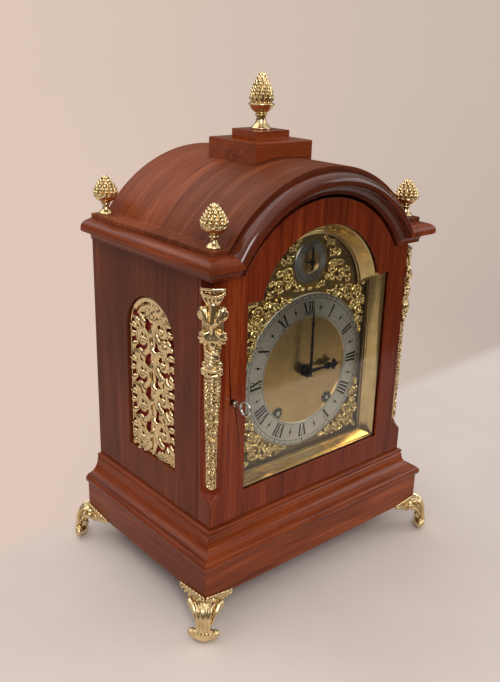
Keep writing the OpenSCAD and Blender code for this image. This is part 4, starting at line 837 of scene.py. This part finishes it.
def foot():
    """A scroll foot: x and y lie along the plinth's two faces, z is up from its edge."""
    clay = Clay()
    clay.add(foot_wing(SIDE_WING), ALONG_SIDE)
    clay.add(foot_wing(FRONT_WING), ALONG_FRONT)
    slant = sqrt(0.5)
    out, side, up = Vector((slant, -slant, 0)), Vector((slant, slant, 0)), Vector((0, 0, 1))

    def at(d, z, s=0):
        return out * d + up * z + side * s

    clay.curve([at(d, z) for d, z in LEG], 2.6, 2.5, 4, axis=side, flat=2.3, sides=16)
    for s, r in ((-4.7, 1.15), (-1.7, 1), (1.7, 1), (4.7, 1.15)):
        rib = [at(d + 2 - abs(s) * 0.16, z + lift, s * spread)
               for (d, z), lift, spread in zip(LEG, RIB_LIFT, RIB_SPREAD)]
        clay.curve(rib, r, r * 1.1, 4, axis=side)
    for s in (-1, 1):
        flare = [at(-3.5, -2.2, s * 12), at(0.8, -4.6, s * 9), at(5, -9.5, s * 6.2), at(7.8, -15, s * 5)]
        clay.curve(flare, 3.4, 1.7, 4, belly=0.4)
        clay.ball(at(ROLL.x, ROLL.y + 1.6, s * 9), (4.3, 1.5, 4.3), tip=side)
        clay.ball(at(ROLL.x, ROLL.y + 2.4, s * 10.8), (3, 2.2, 3), tip=side)
    clay.stroke([at(ROLL.x, ROLL.y + 0.3 * abs(s) ** 0.5, s) for s in (-8.2, -5.6, -2.8, 0, 2.8, 5.6, 8.2)],
                3.5, 3.5, axis=up, belly=2.3, sides=18)
    for s in (-6, -3, 0, 3, 6):
        clay.ball(at(ROLL.x + 4.4 - abs(s) * 0.2, ROLL.y + 2.6, s), (1.5, 2.5, 1.5), tip=up + out * 0.4)
    for s in (-2.8, 0, 2.8):
        clay.ball(at(3, 0.6, s), (1.7, 2.6, 1.7), tip=out + up * 0.6)
    clay.ball(at(-3, -2.5), (6, 6, 2.6))
    cast = clay.fuse("foot", 0.42, 0.42)
    for vert in cast.vertices:
        vert.co.z = max(vert.co.z, FOOT_LOW)
    return cast


def make_feet():
    cast = foot()
    inset = 2.5 * MM
    plinth_low, plinth_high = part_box("plinth_front")
    front = plinth_low.y + inset
    back = high("feet").y - (plinth_low.y - low("feet").y) - inset
    parts = []
    for sx in (-1, 1):
        for sy, y in ((1, front), (-1, back)):
            place = Matrix.Translation((sx * (plinth_high.x - inset), y, plinth_low.z))
            parts.append((cast, place @ Matrix.Diagonal((sx * MM, sy * MM, MM, 1))))
    piece("foot_castings", parts, "cast", "case", "feet")


# The spandrels, in millimetres from their places on the dial. Each scroll: its middle, its radius, where
# it starts and which way it winds. Each leaf: its root, its tip and its width.
CORNER_U, CORNER_V = 56.9, 60
CORNER_SCROLLS = [(3, 16.6, 5.6, 200, 1), (6, 27.6, 3.9, 20, -1), (-16.6, -3, 5.6, 20, -1),
                  (-27.8, -5, 3.9, 200, 1)]
CORNER_LEAVES = [(4, 7, 2.5, 15, 5), (-7, 2, -15, 1.5, 5), (-2, 7.5, -7.5, 14.5, 6),
                 (7.5, 4, 9.5, 13, 4.6), (-7, -5, -14.5, -8.5, 4.6), (4, 22, 1, 28, 4),
                 (-22, -4, -27, -0.5, 4), (6, 32, 7.4, 38, 3.4), (-32, -5, -38, -6.8, 3.4),
                 (6, -6, 10.4, -10.4, 4.4)]
CORNER_BUDS = [((u, v, 1.3), (1.5, 1.5, 1.9))
               for u, v in ((9, 20), (-20, -9), (-5, 9), (-10, 5), (9.4, 25), (-26, -9.2))]
ARCH_SCROLLS = [(36, -14.6, 5.4, 150, -1), (44.6, -20, 3.9, 150, 1), (24.4, 5.6, 4.6, 150, 1),
                (19, 14.2, 3.4, 150, -1), (14.6, -19.6, 3.4, 150, 1)]
ARCH_LEAVES = [(31, -4, 38.5, -5.5, 5.6), (29, 2, 34, 6.6, 5), (40, -10, 46.5, -13.6, 4.2),
               (22, -14.5, 28, -18.6, 4.6), (20.5, -12.5, 16.4, -17, 4), (23, 11, 24.6, 16.6, 4),
               (30.5, -17.5, 37, -20.6, 3.8), (13.6, -20, 6, -22.2, 3.6), (17, 17, 12.4, 20.8, 3.2)]
ARCH_BUDS = [((0.8, -22.2, 1.2), (2.2, 1.7, 1.8))]


def rosette(clay, u, v, r):
    """A round scroll with a beaded flower in its hollow, 3 mm high."""
    clay.ball((u, v, 0.36), (r * 0.85, r * 0.85, 0.9))
    rim = [off(u, v, r * (0.84 - 0.012 * k), k * 18 + 40, 1.8) for k in range(23)]
    clay.stroke(rim, r * 0.19, r * 0.15, flat=1.2)
    for k in range(5):
        clay.ball(off(u, v, r * 0.34, 72 * k + 15, 1.5), (r * 0.13, r * 0.2, 1.08), 72 * k - 75)
    clay.ball((u, v, 2.25), (r * 0.15, r * 0.15, 1.2))


def spandrel(name, flower, scrolls, bead_turn, leaves, buds):
    """Gilt scrollwork, 2 mm to 4 mm high: a rosette, and scrolls with beads, leaves and buds round it."""
    clay = Clay()
    rosette(clay, *flower)
    for u, v, r, start, hand in scrolls:
        clay.scroll((u, v), r * 0.84, r * 0.3, start, 1.35 * hand, r * 0.27, r * 0.17, 2, 1.35)
        for k in range(4):
            clay.ball(off(u, v, r * 0.95, 90 * k + bead_turn, 1.4), (r * 0.24, r * 0.24, 1.4))
    for *ends, width in leaves:
        clay.leaf((*ends[:2], 1.3), (*ends[2:], 1.2), width * 1.15, 2.5)
    for at, radii in buds:
        clay.ball(at, radii)
    return clay.fuse(name, 0.28, 0.4, 1)


def make_spandrels():
    """A casting drawn for the lower right in each corner, and one on each side of the arch."""
    corner = spandrel("corner_spandrel", (0, 0, 8.8), CORNER_SCROLLS, 30, CORNER_LEAVES, CORNER_BUDS)
    arch = spandrel("arch_spandrel", (25.6, -7.5, 7.2), ARCH_SCROLLS, 50, ARCH_LEAVES, ARCH_BUDS)
    parts = []
    for sx in (-1, 1):
        for sz in (-1, 1):
            parts.append((corner, on_dial(sx * CORNER_U * MM, dial_z + sz * CORNER_V * MM, sx, -sz)))
        parts.append((arch, on_dial(0, small_z, sx)))
    piece("spandrel_castings", parts, "gilt", "case", "spandrels")


def polar(angle, r, centre_z):
    """A place on the dial at a clock angle in degrees and a radius in millimetres."""
    a = radians(angle)
    return r * sin(a), centre_z / MM + r * cos(a)


def sector(start, end, inner, outer, centre_z):
    """A four-sided mark between two clock angles and two radii."""
    ends = ((start, inner), (start, outer), (end, outer), (end, inner))
    return [polar(angle, r, centre_z) for angle, r in ends]


def ring_band(inner, outer, centre_z, parts):
    """A thin circle as short four-sided lengths that meet end to end."""
    step = 360 / parts
    return [sector(k * step, (k + 1) * step, inner, outer, centre_z) for k in range(parts)]


def sheet_marks(name, shapes, face):
    """Thin inlaid wax shapes, outlines in (x, z) millimetres, standing just proud of a face of the dial."""
    marks = bmesh.new()
    for outline in shapes:
        capped(marks, [[(x * MM, face + y * MM, z * MM) for x, z in outline] for y in (0.03, -0.06)])
    bmesh.ops.recalc_face_normals(marks, faces=marks.faces)
    dress(name, as_mesh(marks, name), "wax", "case")


def washer(profile, name, turns):
    """A ring turned from a closed profile of (radius, height) points in millimetres."""
    return closed_round([[(r * cos(a), r * sin(a), h) for r, h in profile] for a in round_angles(turns)], name)


NUMERALS = "XII I II III IIII V VI VII VIII IX X XI".split()
NUMERAL_LOW, NUMERAL_HIGH = 49.6, 61.2
THICK, THIN = 1.75, 0.55
LETTER_W = {"I": 3, "V": 6, "X": 6}
# A letter's strokes: each is its lower and upper left edge and its width
LETTERS = {"I": [(-THICK / 2, -THICK / 2, THICK)],
           "V": [(-THICK / 2 - 0.1, -2.3, THICK), (-0.2, 2, THIN)],
           "X": [(1.2, -2.5, THICK), (-2.3, 1.9, THIN)]}


def numeral(word, angle):
    """Shapes for one numeral, spread like a wedge from the dial's middle."""
    total = sum(LETTER_W[c] for c in word)
    middle_r = (NUMERAL_LOW + NUMERAL_HIGH) / 2

    def at(x, share):
        r = NUMERAL_LOW + (NUMERAL_HIGH - NUMERAL_LOW) * share
        return polar(angle + degrees(x / middle_r), r, dial_z)

    def bar(low_x, high_x, width, low_share, high_share):
        return [at(low_x, low_share), at(high_x, high_share), at(high_x + width, high_share),
                at(low_x + width, low_share)]

    shapes = []
    x = -total / 2
    for c in word:
        centre = x + LETTER_W[c] / 2
        for low_x, high_x, width in LETTERS[c]:
            shapes.append(bar(centre + low_x, centre + high_x, width, 0.02, 0.98))
        x += LETTER_W[c]
    length = (total - 0.2) / 3
    for share in (0, 0.96):
        for a in (-total / 2 + 0.1 + length * k for k in range(3)):
            shapes.append(bar(a, a, length, share, share + 0.04))
    return shapes


# Radii on the dial, in millimetres; the diamond's corners have a turn in degrees too
RING_IN = 47.18
TRACK_LOW, TRACK_HIGH, TRACK_MIDDLE = 63.5, 66.5, 65
TRACK_CIRCLES = ((66.35, 66.75), (63.2, 63.55), (48.2, 48.5))
DIAMOND = ((0, 53.6), (-1.5, 55.6), (0, 57.6), (1.5, 55.6))
DOT_RADII = (52.4, 58.8)
RING_SHARP = 0.6  # radians
BUSH = [(4, 0), (4, 0.7), (4.6, 1), (5.4, 0.6), (5.7, 0)]


def hour_marks():
    """Numerals, minute track, and a diamond between two dots at each half hour."""
    shapes = []
    for k, word in enumerate(NUMERALS):
        shapes += numeral(word, 30 * k)
    for inner, outer in TRACK_CIRCLES:
        shapes += ring_band(inner, outer, dial_z, 120)
    for minute in range(60):
        a = degrees((0.42 if minute % 5 == 0 else 0.17) / TRACK_MIDDLE)
        shapes.append(sector(6 * minute - a, 6 * minute + a, TRACK_LOW, TRACK_HIGH, dial_z))
    for a in (30 * k + 15 for k in range(12)):
        shapes.append([polar(a + turn, r, dial_z) for turn, r in DIAMOND])
        for r in DOT_RADII:
            shapes.append(sector(a - 0.5, a + 0.5, r - 0.5, r + 0.5, dial_z))
    return shapes


def make_dial():
    """The silvered rings with their black marks, and the bushes of the winding holes."""
    outer, small = ring_r / MM, small_r / MM
    depth = (dial_y - ring_face) / MM
    bevel = depth - 0.25
    large = washer([(RING_IN, 0), (RING_IN, bevel), (RING_IN + 0.3, depth), (outer - 0.3, depth),
                    (outer, bevel), (outer, 0)], "ring", 128)
    piece("chapter_ring_face", [(large, on_dial(0, dial_z))], "silver", "case", "chapter_ring",
          sharp=RING_SHARP)
    small_in = small * 0.56
    ring = washer([(small_in, 0), (small_in, depth), (small - 0.25, depth), (small, bevel), (small, 0)],
                  "small", 72)
    # The strike ring wears the darker silvered brass, whose dark tone is a painted reflection.
    piece("strike_ring_face", [(ring, on_dial(0, small_z))], "silver_painted_reflection", "case", "strike_silent_ring",
          sharp=RING_SHARP)
    sheet_marks("dial_numerals", hour_marks(), ring_face)
    marks = ring_band(small - 1.6, small - 1.35, small_z, 48)
    marks += ring_band(small_in + 1, small_in + 1.2, small_z, 48)
    for a in range(0, 360, 15):
        marks.append(sector(a - 0.5, a + 0.5, small - 3, small - 1.5, small_z))
    sheet_marks("strike_ring_marks", marks, ring_face)
    bush = washer(BUSH, "bush", 40)
    wind_low, wind_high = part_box("going_winding_arbor")
    x, z = (wind_low.x + wind_high.x) / 2, (wind_low.z + wind_high.z) / 2
    piece("winding_bushes", [(bush, on_dial(s * x, z)) for s in (-1, 1)], "bronze", "case")


# The door's light: half width, sill, shoulder, and the arch's middle and radius, in millimetres
LIGHT_W, LIGHT_LOW, LIGHT_HIGH, LIGHT_CZ, LIGHT_R = 79.4, 107.2, 264.4, 246.0, 68.2
BEZEL_W, BEZEL_LOW = 10.0, 6.0
ARCH_PARTS = 40
# The sight ring's section: shares of its width inwards and of its depth back
BEZEL_SECTION = [(-0.26, 0), (0.02, 0), (0.1, 0.06), (0.24, 0.24), (0.38, 0.44), (0.52, 0.62), (0.62, 0.73),
                 (0.66, 0.78), (0.7, 0.77), (0.74, 0.8), (0.78, 0.86), (0.98, 0.9), (1, 0.92), (1, 1),
                 (-0.26, 1)]


def light_outline(inset):
    """The light's outline drawn in by a share of the bezel's width."""
    d, d_low = BEZEL_W * inset, BEZEL_LOW * inset
    half, sill, shoulder, r = LIGHT_W - d, LIGHT_LOW + d_low, LIGHT_HIGH - d, LIGHT_R - d
    start = asin((shoulder - LIGHT_CZ) / r)
    arch = [start + (pi - 2 * start) * k / ARCH_PARTS for k in range(ARCH_PARTS + 1)]
    return [(-half, sill), (half, sill), (half, shoulder),
            *((r * cos(a), LIGHT_CZ + r * sin(a)) for a in arch), (-half, shoulder)]


def make_bezel():
    """The brass sight ring: a rounded slope from the glass to a narrow flat strip round the dial."""
    bezel_low, bezel_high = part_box("door_bezel")
    depth = (bezel_high.y - bezel_low.y) / MM
    bezel = closed_round([[(x * MM, bezel_low.y + depth * share * MM, z * MM) for x, z in light_outline(inset)]
                          for inset, share in BEZEL_SECTION], "bezel")
    piece("sight_ring", [(bezel, Matrix.Identity(4))], "bezel", "front_door", "door_bezel", sharp=radians(32))


# Camera, at the photograph's place
CAMERA_AT = Vector((-0.4545, -0.5118, 0.4453))
CAMERA_TURN, CAMERA_DOWN, CAMERA_ROLL = (radians(a) for a in (-40.90, 20.06, 1.63))
LENS = 42.957


def make_camera():
    camera = link_object("camera", bpy.data.cameras.new("camera"))
    camera.data.lens = LENS
    camera.data.clip_start = 0.01
    turn = Matrix.Rotation(CAMERA_TURN, 4, "Z") @ Matrix.Rotation(pi / 2 - CAMERA_DOWN, 4, "X")
    camera.matrix_world = Matrix.Translation(CAMERA_AT) @ turn @ Matrix.Rotation(CAMERA_ROLL, 4, "Z")
    bpy.context.scene.camera = camera


def lamp(name, at, aim_z, size, power, colour=(1, 1, 1)):
    """An area lamp, turned to a height on the clock's middle line."""
    light = bpy.data.lights.new(name, "AREA")
    light.shape = "RECTANGLE"
    light.size, light.size_y = size
    light.energy = power
    light.color = colour
    item = link_object(name, light)
    item.location = at
    item.rotation_mode = "QUATERNION"
    item.rotation_quaternion = (Vector((0, 0, aim_z)) - Vector(at)).to_track_quat("-Z", "Y")


# The room: its wall on the photograph's left and right, its floor, and the dark edge that mirrors show
WALL = (0.735, 0.575, 0.485)
# The wall's darker tone to the right is painted shade.
WALL_PAINTED_SHADE = (0.40, 0.36, 0.335)
FLOOR_DARK, FLOOR_LIGHT = (0.63, 0.555, 0.51), (0.69, 0.61, 0.565)
EDGE_TONE = (0.10, 0.08, 0.065, 1.0)
EDGE_START, EDGE_END = -0.385, -0.4
WALL_LEAN, WALL_START, WALL_END = 0.045, 0.11, 0.135
FLOOR_HALF = 6.0
SKY = [(0.0, (0.05, 0.045, 0.04)), (0.3, (0.175, 0.155, 0.135)), (0.75, (0.85, 0.83, 0.81))]


def to_the_right(graph, x, y):
    """How far a place lies to the right of the picture."""
    return graph.blend(x, 0.756, y, 0.655, "SUBTRACT")


def wall_colour(graph, side):
    """The wall's tone, paler on the left of the clock than on its right, where it carries painted shade."""
    return graph.mix(graph.level(side, -0.3, 1.0), WALL, WALL_PAINTED_SHADE)


def floor_material():
    """Pale floor, passing behind into the wall's tone with its painted shade, and dark in front in mirrors
    only.
    """
    graph = Graph("floor")
    x, y, _ = graph.split(graph.place())
    edge = graph.math("SUBTRACT", y, graph.math("MULTIPLY", x, WALL_LEAN))
    behind = graph.level(edge, WALL_START, WALL_END)
    grain = graph.noise(260, 4, 0.6)
    cloud = graph.noise(6, 3, 0.5)
    graph.set(Base_Color=graph.mix(graph.level(cloud, 0.3, 0.7), FLOOR_DARK, FLOOR_LIGHT), Roughness=0.85)
    graph.bump(grain, 0.12, 0.0006)
    away = graph.math("MAXIMUM", graph.reach(x, y), 0.8)
    side = graph.math("DIVIDE", to_the_right(graph, x, y), away)
    seen = graph.add("LightPath").outputs["Is Camera Ray"]
    mirrored = graph.math("SUBTRACT", 1.0, seen)
    beyond = graph.math("MULTIPLY", graph.level(y, EDGE_START, EDGE_END), mirrored)
    floor = graph.mix_shaders(beyond, graph.shader.outputs[0], graph.glow(EDGE_TONE))
    wall_with_painted_shade = graph.glow(wall_colour(graph, side))
    mixed = graph.mix_shaders(graph.math("MULTIPLY", behind, seen), floor, wall_with_painted_shade)
    graph.put(graph.output.inputs["Surface"], mixed)
    return graph.material


def make_room():
    """A dim room with pale light from above; the camera sees only the wall's tone, with its painted shade."""
    world = bpy.data.worlds.new("room")
    bpy.context.scene.world = world
    world.use_nodes = True
    graph = Graph.__new__(Graph)
    graph.tree = world.node_tree
    x, y, z = graph.split(graph.add("TexCoord").outputs["Generated"])
    wall = wall_colour(graph, to_the_right(graph, x, y))
    sky = graph.ramp(graph.level(z, -0.1, 1.0), SKY)
    background = graph.tree.nodes["Background"]
    seen = graph.add("LightPath").outputs["Is Camera Ray"]
    graph.put(background.inputs["Color"], graph.mix(seen, sky, wall))
    background.inputs["Strength"].default_value = 1.0


def make_stage():
    mesh = bpy.data.meshes.new("floor")
    corners = [(-1, -1), (1, -1), (1, 1), (-1, 1)]
    mesh.from_pydata([(x * FLOOR_HALF, y * FLOOR_HALF, 0) for x, y in corners], [], [(0, 1, 2, 3)])
    mesh.materials.append(floor_material())
    link_object("floor", mesh)
    make_room()
    lamp("window", (-0.75, -1.15, 1.15), 0.2, (0.4, 0.65), 10, (1.0, 0.97, 0.94))
    lamp("roof_light", (-0.5, 0.75, 1.5), 0.3, (2.0, 1.4), 8, (0.97, 0.97, 1.0))
    lamp("fill", (1.4, -0.9, 0.8), 0.2, (0.9, 0.9), 5.5)


make_corner_mounts()
make_grilles()
make_finials()
make_feet()
make_spandrels()
make_dial()
make_bezel()
make_camera()
make_stage()
bpy.context.scene.view_settings.view_transform = "Standard"
